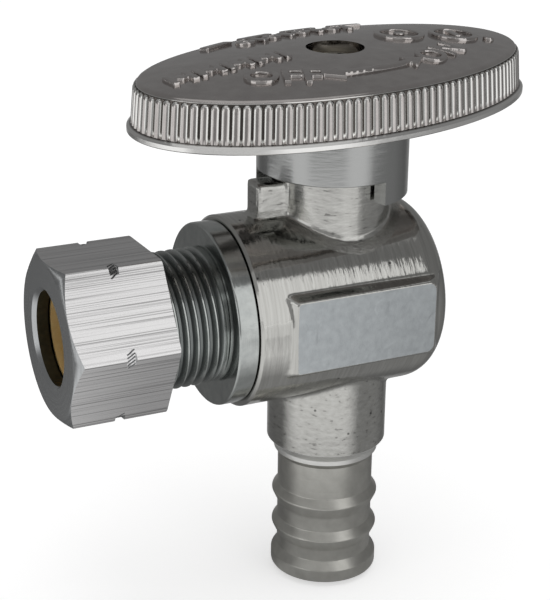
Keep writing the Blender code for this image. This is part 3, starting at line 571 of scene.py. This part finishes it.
def makeNut():
    s = nutSizes
    back, front = reachOf("compression_nut")
    corner = s["halfFlats"] / math.cos(math.pi / 6)
    hexagon = bmesh.new()
    middle = Matrix.Translation((0, 0, (front + back) / 2 * mm))
    bmesh.ops.create_cone(hexagon, cap_ends=True, segments=6, radius1=corner * mm, radius2=corner * mm,
                          depth=(front - back) * mm, matrix=middle)
    upright = [edge for edge in hexagon.edges if abs(edge.verts[0].co.z - edge.verts[1].co.z) > mm]
    bevelEdges(hexagon, upright, s["edge"])
    nutPlace = outletPlace @ turnedBy(s["turn"])
    hexagon = settled(hexagon, nutPlace)
    slope = math.tan(math.radians(s["chamfer"]))
    outer = corner + past
    backRadius = corner - s["backEdge"]
    limits = turnedSolid([(backRadius, back), (outer, back + (outer - backRadius) * slope),
                          (outer, front - (outer - s["faceRadius"]) * slope), (s["faceRadius"], front)],
                         outletPlace)
    floor = front - s["web"]
    threadEnd = floor - (s["coneEnd"] - s["coneFoot"]) / s["coneSlope"]
    bore = turnedSolid([(s["coneEnd"], back - past), (s["coneEnd"], threadEnd), (s["coneFoot"], floor),
                        (s["hole"], floor), (s["hole"], front - s["holeChamfer"]),
                        (s["hole"] + s["holeChamfer"] + past, front + past)], outletPlace, boreSides)
    thread = threadedRod(threadSizes["crest"] + s["threadGap"], back - past, threadEnd)
    nut = combined(combined(hexagon, "INTERSECT", limits), "DIFFERENCE", bore, thread,
                   *makeDents(front, corner, nutPlace))
    toOutlet = outletPlace.inverted()
    for face in nut.faces:
        spot = toOutlet @ face.calc_center_median() / mm
        inward = -(toOutlet.to_3x3() @ face.normal).xy.dot(spot.xy.normalized())
        if inward > 0.3 and spot.z < front - s["holeChamfer"] and spot.xy.length < s["coneEnd"] + 1:
            face.material_index = 1
        else:
            face.material_index = 2 if abs(face.normal.x) > 0.4 else 0  # the ends and their chamfers
    # the plating hardly reaches into the nut, so its inside is dull; its dark brown is painted shade in the
    # bore
    boreShade = grainedFinish("boreInPaintedShade", 0.5, 3, "#3c3a30", "#5a5644", {"Metallic": 1, "Roughness": 0.5})
    finishes = [chromeOnDrawnHexBar(), boreShade, facedChrome()]
    addPiece("hexNut", nut, "nut", finishes, "compression_nut")


makeNut()

# Ferrule: brass sleeve with a cone at each end
ferruleSizes = {"bore": 4.86, "edgeRadius": 5.2, "edgeRound": 0.08, "radius": 6.0, "cone": 1.7,
                "coneRound": 0.5, "roundSteps": 4}
# bare turned brass with a thin film of oxide: warm gold, dull rather than mirror-like
brass = grainedFinish("machinedBrass", 0.5, 3, "#e8c278", "#f8dea6", {"Metallic": 0.3, "Roughness": 0.4})


def makeFerrule():
    s = ferruleSizes
    back, front = reachOf("ferrule")
    outline = [(s["bore"], back), (s["edgeRadius"], back, s["edgeRound"]),
               (s["radius"], back + s["cone"], s["coneRound"]),
               (s["radius"], front - s["cone"], s["coneRound"]),
               (s["edgeRadius"], front, s["edgeRound"]), (s["bore"], front)]
    shape = lathe(rounded(outline, s["roundSteps"]), outletPlace, boreSides)
    addPiece("brassFerrule", shape, "ferrule_carrier", [brass], "ferrule")


makeFerrule()

# Handle: oval die-casting with a fluted rim
handleSizes = {
    "halfLong": 23.35, "halfShort": 13.4, "turn": 13.5, "wall": 1.8, "wallEdge": 0.2, "roof": 23.8,
    "lipProud": 0.4, "lipBase": 20.73, "lipTop": 21.3, "lipEdge": 0.1, "lipTopEdge": 0.06, "ledge": 0.02,
    "fluteBase": 21.6, "fluteTop": 25.3, "draft": 0.3, "flutes": 116, "stepsPerFlute": 16, "fluteDepth": 0.3,
    "reed": 0.86, "arch": 0.45, "roundTop": 25.7, "roundInset": 0.75, "roundSteps": 6, "crownRise": 1.2,
    "fluteRings": (0, 0.15, 0.35, 0.55, 0.72, 0.78, 0.83, 0.87, 0.9, 0.93, 0.955, 0.98, 1),
    "crownRings": (0.96, 0.88, 0.76, 0.62, 0.48, 0.34, 0.2),
    "hubRadius": 7.92, "hubBase": 14.37, "hubEdge": 0.15, "hubBore": 6.3, "boreRoof": 15.5, "overlap": 0.5,
    "skirtBase": 11.95, "skirtSteps": 72, "stopGap": 0.3, "drive": 2.6, "driveRoof": 21.7,
    "recess": 3.0, "recessFloor": 24.0, "recessTop": 27.5, "screwHole": 1.8,
}


def chromeOnZincCasting():
    # plated die-casting: glossy above, satin on the hub; brown tarnishing with painted shade down in the
    # flutes and on the ledge, and painted highlights on the reeds' flanks and the lip
    s = handleSizes
    finish, add, place = startFinish("chromeOnZincCasting")
    height = add("SeparateXYZ", (place,)).node.outputs["Z"]
    groove = add("Attribute", attribute_name="groove").node.outputs["Fac"]
    swell = add("TexNoise", {"Vector": place, "Scale": perSize(1.6), "Detail": 3})
    worn = add("Mapping", {"Vector": place, "Scale": perSize(2.2, 2.2, 0.4)})
    hubGrain = add("TexNoise", {"Vector": worn, "Scale": 1, "Detail": 3})
    above = add("MapRange", (height, atHeight(20.3), atHeight(20.9)))  # from the hub to the rim
    relief = add("Mix", (above, hubGrain, swell))
    reliefDepth = add("MapRange", (above, 0, 1, 0.02 * mm, 0.012 * mm))
    bump = add("Bump", {"Strength": 0.7, "Distance": reliefDepth, "Height": relief})
    rough = add("MapRange", (above, 0, 1, 0.19, 0.13))
    # the reeds' flanks are lightened almost to white as a painted highlight
    flank = add("MapRange", (groove, 0.08, 0.3))
    # deep in the flutes and on the ledge the colour turns dark brown: tarnished brown, deepened as painted
    # shade
    grooveTarnishAndShade = add("MapRange", (groove, 0.42, 0.85, 0, 0.9))
    # the lip band is lightened as a painted highlight
    lipTop = add("MapRange", (height, atHeight(s["lipTop"]), atHeight(s["fluteBase"]), 1, 0))
    lipSide = add("MapRange", (height, atHeight(s["lipBase"] + 0.03), atHeight(s["lipBase"] + 0.11)))
    lipHighlight = add("Math", (lipTop, lipSide), operation="MULTIPLY")
    shade = add("Mix", (swell, "#b2acaa", "#d6d2cf"), data_type="RGBA")
    shade = add("Mix", (flank, shade, "#fafaf7"), data_type="RGBA")
    shade = add("Mix", (above, "#b2b3b2", shade), data_type="RGBA")
    shade = add("Mix", (lipHighlight, shade, "#f2f1ef"), data_type="RGBA")
    shade = add("Mix", (grooveTarnishAndShade, shade, "#3d322b"), data_type="RGBA")
    return dressed(finish, {"Metallic": 1, "Base Color": shade, "Roughness": rough, "Normal": bump})


def perimeterAngles(count):
    # angles that share the oval's edge out evenly
    s = handleSizes
    fine = count * 8
    lengths = [0]
    for i in range(fine):
        a = fullTurn * i / fine
        b = fullTurn * (i + 1) / fine
        along = s["halfLong"] * (math.cos(b) - math.cos(a))
        across = s["halfShort"] * (math.sin(b) - math.sin(a))
        lengths.append(lengths[-1] + math.hypot(along, across))
    angles = []
    spot = 0
    for number in range(count):
        target = lengths[-1] * number / count
        while lengths[spot + 1] < target:
            spot += 1
        share = (target - lengths[spot]) / (lengths[spot + 1] - lengths[spot])
        angles.append(fullTurn * (spot + share) / fine)
    return angles


def crownAxes():
    inset = handleSizes["draft"] + handleSizes["fluteDepth"] + handleSizes["roundInset"]
    return handleSizes["halfLong"] - inset, handleSizes["halfShort"] - inset


def handleRows():
    # the rings' half axes and heights, and which are fluted, from the hollow's roof over the rim to the crown
    s = handleSizes
    proud = s["lipProud"]

    def ring(inset, height, fluted=False):
        return s["halfLong"] - inset, s["halfShort"] - inset, height, fluted

    rows = [ring(s["wall"], s["roof"]), ring(s["wall"], s["lipBase"] + s["wallEdge"]),
            ring(s["wall"] - s["wallEdge"], s["lipBase"]), ring(s["lipEdge"] - proud, s["lipBase"]),
            ring(-proud, s["lipBase"] + s["lipEdge"]), ring(-proud, s["lipTop"] - s["lipTopEdge"]),
            ring(s["lipTopEdge"] - proud, s["lipTop"]), ring(s["ledge"], s["fluteBase"] - s["ledge"])]
    for share in s["fluteRings"]:
        rows.append(ring(s["draft"] * share, s["fluteBase"] + (s["fluteTop"] - s["fluteBase"]) * share, True))
    for step in range(1, s["roundSteps"] + 1):
        angle = math.pi / 2 * step / s["roundSteps"]
        rows.append(ring(s["draft"] + s["fluteDepth"] + s["roundInset"] * (1 - math.cos(angle)),
                         s["fluteTop"] + (s["roundTop"] - s["fluteTop"]) * math.sin(angle)))
    long, short = crownAxes()
    for share in s["crownRings"]:
        height = s["roundTop"] + s["crownRise"] * (1 - share * share)
        rows.append((long * share, short * share, height, False))
    return rows


def fluteDepth(along, height):
    # rounded reeds with domed tops stand between narrow grooves; the depth is counted from a reed's front
    s = handleSizes
    across = (along * s["flutes"] % 1 - 0.5) / (s["reed"] / 2)
    rise = max(0, (height - s["fluteTop"]) / s["arch"] + 1)
    bulge = max(0, 1 - across * across - rise * rise)
    return s["fluteDepth"] * (1 - math.sqrt(bulge))


# Marks raised on the crown: a turning arrow between OFF and ON, and a dial's bars and dots round the rest
# Places are an angle round the oval and the share of its size.
markSizes = {
    "proud": 0.33, "sunk": 0.4, "letter": 4.4, "fatten": 0.13, "barWidth": 0.75, "barLength": 2.6,
    "dot": 0.62, "arrowHead": 1.5, "ring": (2.7, 0.7), "smallRing": (1.05, 0.6), "ringSides": 48,
    "edgeArc": (12, 1.2), "arcStep": 2,
    "front": 0.68, "back": 0.72, "edge": 0.9, "words": (("OFF", 222), ("ON", 303)), "arrow": (246, 282),
    "leftScale": (176, 0.3, 0.05, 13), "backScale": range(60, 116, 7), "edgeArcs": range(56, 108, 17),
    "target": (8, 0.43), "slot": (350, 0.7), "lastDot": (338, 0.88), "voxel": 0.11, "smoothing": 6,
}
markHeight = (markSizes["proud"] + markSizes["sunk"]) * mm
markLift = Matrix.Translation((0, 0, (markSizes["proud"] - markSizes["sunk"]) / 2 * mm))


def onCrown(angle, share):
    # place and heading of a mark at an angle round the oval, on a smaller oval of that share
    long, short = crownAxes()
    turn = math.radians(angle)
    heading = math.atan2(short * math.cos(turn), -long * math.sin(turn))
    spot = Vector((long * math.cos(turn), short * math.sin(turn), 0)) * share * mm
    return Matrix.Translation(spot) @ Matrix.Rotation(heading, 4, "Z")


def addWord(shape, word, angle, share):
    curve = bpy.data.curves.new(word, "FONT")
    curve.body = word
    curve.size = markSizes["letter"] * mm
    curve.offset = markSizes["fatten"] * mm
    curve.extrude = markHeight / 2
    curve.align_x = "CENTER"
    curve.align_y = "CENTER"
    letters = bpy.data.objects.new(word, curve)
    mesh = bpy.data.meshes.new_from_object(letters)
    mesh.transform(onCrown(angle, share) @ markLift)
    shape.from_mesh(mesh)
    bpy.data.objects.remove(letters)


def addBar(shape, angle, share, width, length):
    size = Matrix.Diagonal((width * mm, length * mm, markHeight, 1))
    bmesh.ops.create_cube(shape, size=1, matrix=onCrown(angle, share) @ markLift @ size)


def addDisc(shape, angle, share, radius, turn=0, sides=24):
    place = onCrown(angle, share) @ markLift @ turnedBy(turn)
    bmesh.ops.create_cone(shape, cap_ends=True, segments=sides, radius1=radius * mm, radius2=radius * mm,
                          depth=markHeight, matrix=place)


def addArc(shape, start, stop, share, width):
    sides = []
    for side in (-1, 1):
        foot = Vector((0, side * width / 2 * mm, -markSizes["sunk"] * mm))
        sides.append([shape.verts.new(onCrown(angle, share) @ foot)
                      for angle in range(start, stop + 1, markSizes["arcStep"])])
    right, left = sides
    faces = [shape.faces.new((right[i], right[i + 1], left[i + 1], left[i])) for i in range(len(right) - 1)]
    raised = bmesh.ops.extrude_face_region(shape, geom=faces, use_keep_orig=True)["geom"]
    bmesh.ops.translate(shape, vec=(0, 0, markHeight), verts=pointsOf(raised))


def addRing(shape, angle, share, radius, width):
    low, high = -markSizes["sunk"], markSizes["proud"]
    ring = lathe([(radius - width, low), (radius, low), (radius, high), (radius - width, high)],
                 onCrown(angle, share), markSizes["ringSides"])
    mesh = bpy.data.meshes.new("ring")
    ring.to_mesh(mesh)
    ring.free()
    shape.from_mesh(mesh)


def makeMarks():
    s = markSizes
    width, length = s["barWidth"], s["barLength"]
    shape = bmesh.new()
    for word, angle in s["words"]:
        addWord(shape, word, angle, s["front"])
    start, stop = s["arrow"]
    addArc(shape, start, stop, s["front"], width)
    for angle, turn in ((start - 1, 90), (stop + 1, -90)):
        addDisc(shape, angle, s["front"], s["arrowHead"], turn, 3)
    angle, first, step, count = s["leftScale"]
    for number in range(count):
        if number % 3 == 2:
            addDisc(shape, angle, first + step * number, s["dot"])
        else:
            addBar(shape, angle, first + step * number, length, width)
    for number, angle in enumerate(s["backScale"]):
        if number % 2:
            addRing(shape, angle, s["back"], *s["smallRing"])
        else:
            addBar(shape, angle, s["back"], width, length)
    span, arcWidth = s["edgeArc"]
    for angle in s["edgeArcs"]:
        addArc(shape, angle, angle + span, s["edge"], arcWidth)
    addRing(shape, *s["target"], *s["ring"])
    addDisc(shape, *s["target"], s["dot"])
    addRing(shape, *s["slot"], *s["ring"])
    addBar(shape, *s["slot"], length, width)
    addDisc(shape, *s["lastDot"], s["dot"])
    bmesh.ops.recalc_face_normals(shape, faces=shape.faces)
    shape = softened(shape, s["voxel"], s["smoothing"])
    long, short = crownAxes()
    for vert in shape.verts:
        share = (vert.co.x / long / mm) ** 2 + (vert.co.y / short / mm) ** 2
        vert.co.z += (handleSizes["roundTop"] + handleSizes["crownRise"] * (1 - share)) * mm
    return shape


def markGrooves(mesh, toHandle):
    # how deep each point lies in a flute, for the brown tarnishing and painted shade
    s = handleSizes
    groove = mesh.attributes.new("groove", "FLOAT", "POINT")
    for vert in mesh.vertices:
        spot = toHandle @ vert.co / mm
        up = (spot.z - s["fluteBase"]) / (s["fluteTop"] - s["fluteBase"])
        onLedge = abs(spot.z - s["fluteBase"] + s["ledge"]) < s["ledge"] / 2
        if onLedge and math.hypot(spot.x, spot.y) > s["halfShort"] - s["wallEdge"]:
            groove.data[vert.index].value = 1  # painted shade on the ledge at the reeds' feet
        elif 0 <= up <= 1:
            long = s["halfLong"] - s["draft"] * up
            short = s["halfShort"] - s["draft"] * up
            share = math.hypot(spot.x / long, spot.y / short)
            depth = (1 - share) * share / math.hypot(spot.x / long ** 2, spot.y / short ** 2)
            sunk = depth / s["fluteDepth"]
            groove.data[vert.index].value = min(1, max(0, sunk)) if sunk < 2 else 0


def makeOval(place):
    # one ring of points is carried from row to row, and its two ends are filled
    s = handleSizes
    count = s["flutes"] * s["stepsPerFlute"]
    angles = perimeterAngles(count)
    shape = bmesh.new()
    bmesh.ops.create_circle(shape, cap_ends=False, radius=mm, segments=count)
    number = shape.verts.layers.int.new("number")
    for i, vert in enumerate(shape.verts):
        vert[number] = i
    ringEdges = shape.edges[:]
    ringVerts = shape.verts[:]
    for index, (long, short, height, fluted) in enumerate(handleRows()):
        if index:
            made = bmesh.ops.extrude_edge_only(shape, edges=ringEdges)["geom"]
            ringVerts = pointsOf(made)
            fresh = set(ringVerts)
            madeEdges = [item for item in made if isinstance(item, bmesh.types.BMEdge)]
            ringEdges = [edge for edge in madeEdges if fresh.issuperset(edge.verts)]
        for vert in ringVerts:
            angle = angles[vert[number]]
            depth = fluteDepth(vert[number] / count, height) if fluted else 0
            outward = Vector((math.cos(angle) / long, math.sin(angle) / short, 0)).normalized()
            spot = Vector((long * math.cos(angle), short * math.sin(angle), height)) - outward * depth
            vert.co = spot * mm
    bmesh.ops.edgeloop_fill(shape, edges=[edge for edge in shape.edges if edge.is_boundary])
    return settled(shape, place)


def makeSkirt():
    # three quarters of a ring under the hub, which meet the lug after a quarter turn
    s = handleSizes
    stop = math.asin((bodySizes["lugHalf"] + s["stopGap"]) / s["hubBore"])
    top = s["hubBase"] + s["overlap"]
    corners = [(s["hubBore"], s["skirtBase"]), (s["hubRadius"], s["skirtBase"]), (s["hubRadius"], top),
               (s["hubBore"], top)]
    skirt = bmesh.new()
    face = skirt.faces.new([skirt.verts.new((r * mm, 0, h * mm)) for r, h in corners])
    bmesh.ops.spin(skirt, geom=[face, *face.edges, *face.verts], **aboutAxis,
                   angle=0.75 * fullTurn - 2 * stop, steps=s["skirtSteps"])
    return settled(skirt, stemPlace @ Matrix.Rotation(0.75 * fullTurn + stop, 4, "Z"))


def makeHandle():
    s = handleSizes
    handlePlace = stemPlace @ turnedBy(s["turn"])
    oval = makeOval(handlePlace)
    marks = settled(makeMarks(), handlePlace)
    hub = turnedSolid([(s["hubRadius"], s["hubBase"], s["hubEdge"]),
                       (s["hubRadius"], s["roof"] + s["overlap"])], stemPlace)
    bore = turnedSolid([(s["hubBore"], s["skirtBase"] - past), (s["hubBore"], s["boreRoof"])], stemPlace)
    half = s["drive"]
    drive = block((-half, -half, s["hubBase"]), (half, half, s["driveRoof"]), stemPlace)
    recess = turnedSolid([(s["screwHole"], s["driveRoof"] - past), (s["screwHole"], s["recessFloor"]),
                          (s["recess"], s["recessFloor"]), (s["recess"], s["recessTop"])],
                         stemPlace, boreSides)
    shape = combined(combined(oval, "UNION", hub, makeSkirt(), marks), "DIFFERENCE", bore, drive, recess)
    handle = addPiece("flutedHandle", shape, "spindle", [chromeOnZincCasting()], "handle")
    markGrooves(handle.data, handlePlace.inverted())


makeHandle()

# Handle screw: pan head with a cross recess
screwSizes = {"shank": 1.5, "tipEdge": 0.4, "seat": 24.3, "seatEdge": 0.1, "headRadius": 2.6,
              "headRound": 1.0, "roundSteps": 6, "sides": 64, "cross": 0.9, "crossSpan": 3.0,
              "crossDepth": 1.0, "crossTurn": 30}


def makeScrew():
    s = screwSizes
    tip, top = heightOf("handle_screw")
    shape = turnedSolid([(s["shank"] - s["tipEdge"], tip), (s["shank"], tip + s["tipEdge"]),
                         (s["shank"], s["seat"]), (s["headRadius"], s["seat"], s["seatEdge"]),
                         (s["headRadius"], top, s["headRound"])], stemPlace, s["sides"], s["roundSteps"])
    crossPlace = stemPlace @ turnedBy(s["crossTurn"])
    wide, long = s["cross"] / 2, s["crossSpan"] / 2
    slots = [block((-x, -y, top - s["crossDepth"]), (x, y, top + past), crossPlace)
             for x, y in ((wide, long), (long, wide))]
    shape = combined(shape, "DIFFERENCE", *slots)
    # passivated steel: dull grey with a faint yellow cast
    steel = grainedFinish("zincPlatedSteel", 0.6, 4, "#6f6d62", "#98958a", {"Metallic": 1, "Roughness": 0.42})
    addPiece("panHeadScrew", shape, "spindle", [steel], "handle_screw")


makeScrew()

# Pieces that keep their CAD shape
# white seat plastic: waxy and slightly mottled
seatPlastic = grainedFinish("fluoropolymer", 0.7, 3, "#deddd6", "#efeeea", {"Roughness": 0.45, "IOR": 1.36})
# moulded black rubber: almost matt, with a bloom of lighter grey
ringRubber = grainedFinish("nitrileRubber", 0.4, 4, "#151515", "#252524", {"Roughness": 0.62, "IOR": 1.52})
keptFinishes = {"ball": castChrome, "outlet_seat": seatPlastic, "rear_seat": seatPlastic,
                "thrust_washer": seatPlastic, "connector_ring": ringRubber, "stem_ring_lower": ringRubber,
                "stem_ring_upper": ringRubber, "stem": brass}
for node, finish in keptFinishes.items():
    item = frame["nodes"][node]
    item.data.materials.clear()
    item.data.materials.append(finish)
print("finished kept pieces", len(keptFinishes))

# Stage, in metres: white surroundings, with grey panels round the object that only the metal sees
stageSizes = {"floorDrop": 0.5 * mm, "floorHalf": 3.0, "ambient": 0.5, "lift": 0.5, "cardRadius": 0.6,
              "cardSides": 64, "wallStep": 6, "ceiling": 1.05, "ceilingLevel": 0.5}
# angles from the camera to its right, heights and brightness of the curved panels
wallSizes = {
    "darkSurround": (62, 298, 0, 1.2, 0.2), "cameraSide": (-30, 28, 0, 0.5, 0.36),
    "leftUpper": (-62, -30, 0.2, 0.6, 0.4), "frontUpper": (-62, 62, 0.64, 1.2, 0.2),
}
lampSizes = {
    "overheadBox": {"spot": (0, -0.1, 1.1), "aim": (0, 0, 0), "size": 0.9, "power": 3.0, "mirrored": True},
    "windowBox": {"spot": (0.35, -0.9, 0.4), "aim": (0, 0, 0.03), "size": 0.4, "power": 0.5,
                  "mirrored": False},
}
towardsCamera = Vector((-0.4251, -0.9051, 0))
towardsLeft = Vector((-0.9051, 0.4251, 0))
towardsLight = Vector((-0.768, -0.642, 0))
towardsShade = Vector((-0.5476, -0.8368, 0))
# the table's ramps run over a distance or a cosine; a band has its ramp, gain, right-hand share and extent
tableSizes = {
    "bands": ((0.07, 0.055, -0.35, 0, "round"), (0.116, 0.126, 0.6, 0.3, "ahead"),
              (0.15, 0.157, -0.92, 0, "round"), (0.2, 0.215, 1.22, 0.44, "round")),
    "ahead": (-0.05, 0.2), "leftHand": (-0.2, 0.3), "front": (0.1, 0.5), "near": (0.018, 0.047, 0.31, 0.9),
    "shaded": (0.84, 0.93, 1, 0.3), "far": (0.14, 0.24), "right": (-0.2, -0.7, 0, 0.115),
    "rightAhead": (-0.7, -0.2), "behind": (-0.75, -0.97, 0.15, 0.37),
}


def seenRays(add):
    rays = add("LightPath").node.outputs
    seen = add("Math", (rays["Is Camera Ray"], rays["Is Glossy Ray"]), operation="MAXIMUM")
    return add("Math", (seen, rays["Is Transmission Ray"]), operation="MAXIMUM")


def makeWorld():
    world = bpy.data.worlds.new("studio")
    scene.world = world
    world.use_nodes = True
    world.node_tree.nodes.clear()
    add = partial(addNode, world.node_tree)
    light = add("Background", {"Color": "#ffffff", "Strength": stageSizes["ambient"]})
    white = add("Background", {"Color": "#ffffff", "Strength": 1})
    add("OutputWorld", {"Surface": add("MixShader", (seenRays(add), light, white))})


def startStageFinish(name):
    finish = bpy.data.materials.new(name)
    finish.use_nodes = True
    finish.node_tree.nodes.clear()
    return finish, partial(addNode, finish.node_tree)


def makeFloor():
    finish, add = startStageFinish("paleFloor")
    paint = add("BsdfDiffuse", {"Color": "#e8e8e8"})
    lift = add("Emission", {"Color": "#ffffff", "Strength": stageSizes["lift"]})
    lit = add("AddShader", (paint, lift))
    add("OutputMaterial", {"Surface": add("MixShader", (seenRays(add), paint, lit))})
    shape = bmesh.new()
    bmesh.ops.create_grid(shape, x_segments=1, y_segments=1, size=stageSizes["floorHalf"],
                          matrix=Matrix.Translation((0, 0, -stageSizes["floorDrop"])))
    floor = temporary(shape, "floor")
    floor.data.materials.append(finish)


def addCard(name, shape, finish):
    card = temporary(shape, name)
    card.data.materials.append(finish)
    card.visible_camera = False
    card.visible_diffuse = False
    card.visible_shadow = False


def addRoundCard(name, height, finish):
    shape = bmesh.new()
    bmesh.ops.create_circle(shape, cap_ends=True, radius=stageSizes["cardRadius"],
                            segments=stageSizes["cardSides"], matrix=Matrix.Translation((0, 0, height)))
    addCard(name, shape, finish)


def glow(name, level):
    finish, add = startStageFinish(name)
    add("OutputMaterial", {"Surface": add("Emission", {"Color": (level, level, level, 1), "Strength": 1})})
    return finish


def makeWall(name, start, stop, low, high, level):
    shape = bmesh.new()
    foot = Matrix.Rotation(math.radians(start), 3, "Z") @ (towardsCamera * stageSizes["cardRadius"])
    ends = [shape.verts.new(foot + Vector((0, 0, z))) for z in (low, high)]
    line = shape.edges.new(ends)
    bmesh.ops.spin(shape, geom=[*ends, line], **aboutAxis, angle=math.radians(stop - start),
                   steps=max(4, round((stop - start) / stageSizes["wallStep"])))
    addCard(name, shape, glow(name, level))


def makeTable():
    # what the metal sees of the table: shaded close by, lit in front and dim further round
    s = tableSizes
    finish, add = startStageFinish("tableCard")
    place = add("TexCoord").node.outputs["Object"]
    out = add("VectorMath", (place,), operation="LENGTH")
    facing = add("VectorMath", (place,), operation="NORMALIZE")
    front, lightSide, leftSide, shadeSide = [
        add("VectorMath", (facing, side), operation="DOT_PRODUCT")
        for side in (towardsCamera, towardsLight, towardsLeft, towardsShade)]
    ahead = add("MapRange", (lightSide, *s["ahead"]))
    wide = lightSide
    for start, stop, gain, rightShare, extent in s["bands"]:
        widen = add("MapRange", (out, start, stop, 0, gain))
        onSide = add("MapRange", (leftSide, *s["leftHand"], rightShare, 1))
        if extent == "ahead":
            onSide = add("Math", (onSide, ahead), operation="MULTIPLY")
        wide = add("Math", (widen, onSide, wide), operation="MULTIPLY_ADD")
    frontShare = add("MapRange", (wide, *s["front"]))
    near = add("MapRange", (out, *s["near"]))
    shaded = add("MapRange", (shadeSide, *s["shaded"]))
    far = add("MapRange", (out, *s["far"]))
    clear = add("Mix", (far, 1.0, shaded))
    lit = add("Math", (near, clear), operation="MULTIPLY")
    right = add("MapRange", (leftSide, *s["right"]))
    rightAhead = add("MapRange", (front, *s["rightAhead"]))
    behind = add("MapRange", (front, *s["behind"]))
    dim = add("Math", (right, rightAhead, behind), operation="MULTIPLY_ADD")
    level = add("Mix", (frontShare, dim, lit))
    add("OutputMaterial", {"Surface": add("Emission", {"Color": "#ffffff", "Strength": level})})
    addRoundCard("tableCard", -stageSizes["floorDrop"] / 2, finish)


def makeLamp(name, spot, aim, size, power, mirrored):
    data = bpy.data.lights.new(name, "AREA")
    data.shape = "RECTANGLE"
    data.size = size
    data.size_y = size
    data.energy = power
    lamp = bpy.data.objects.new(name, data)
    lamp.location = spot
    lamp.rotation_euler = (Vector(aim) - Vector(spot)).to_track_quat("-Z", "Y").to_euler()
    lamp.visible_glossy = mirrored
    scene.collection.objects.link(lamp)


makeWorld()
makeFloor()
makeTable()
for name, sizes in wallSizes.items():
    makeWall(name, *sizes)
addRoundCard("ceiling", stageSizes["ceiling"], glow("ceiling", stageSizes["ceilingLevel"]))
for name, sizes in lampSizes.items():
    makeLamp(name, **sizes)
print("stage ready")

# Camera, fitted to the outlines in the photograph
cameraView = {"spot": (-0.075446, -0.147048, 0.097196), "right": (0.90699, -0.42099, 0.01140),
              "up": (0.14603, 0.33978, 0.92910), "back": (-0.39502, -0.84102, 0.36966), "lens": 99.28,
              "sensor": 36, "clip": (0.01, 20)}


def makeCamera():
    v = cameraView
    data = bpy.data.cameras.new("camera")
    data.lens = v["lens"]
    data.sensor_width = v["sensor"]
    data.clip_start, data.clip_end = v["clip"]
    camera = bpy.data.objects.new("camera", data)
    axes = Matrix((v["right"], v["up"], v["back"])).transposed().to_4x4()
    camera.matrix_world = Matrix.Translation(v["spot"]) @ axes
    scene.collection.objects.link(camera)
    scene.camera = camera


makeCamera()
print("camera ready")
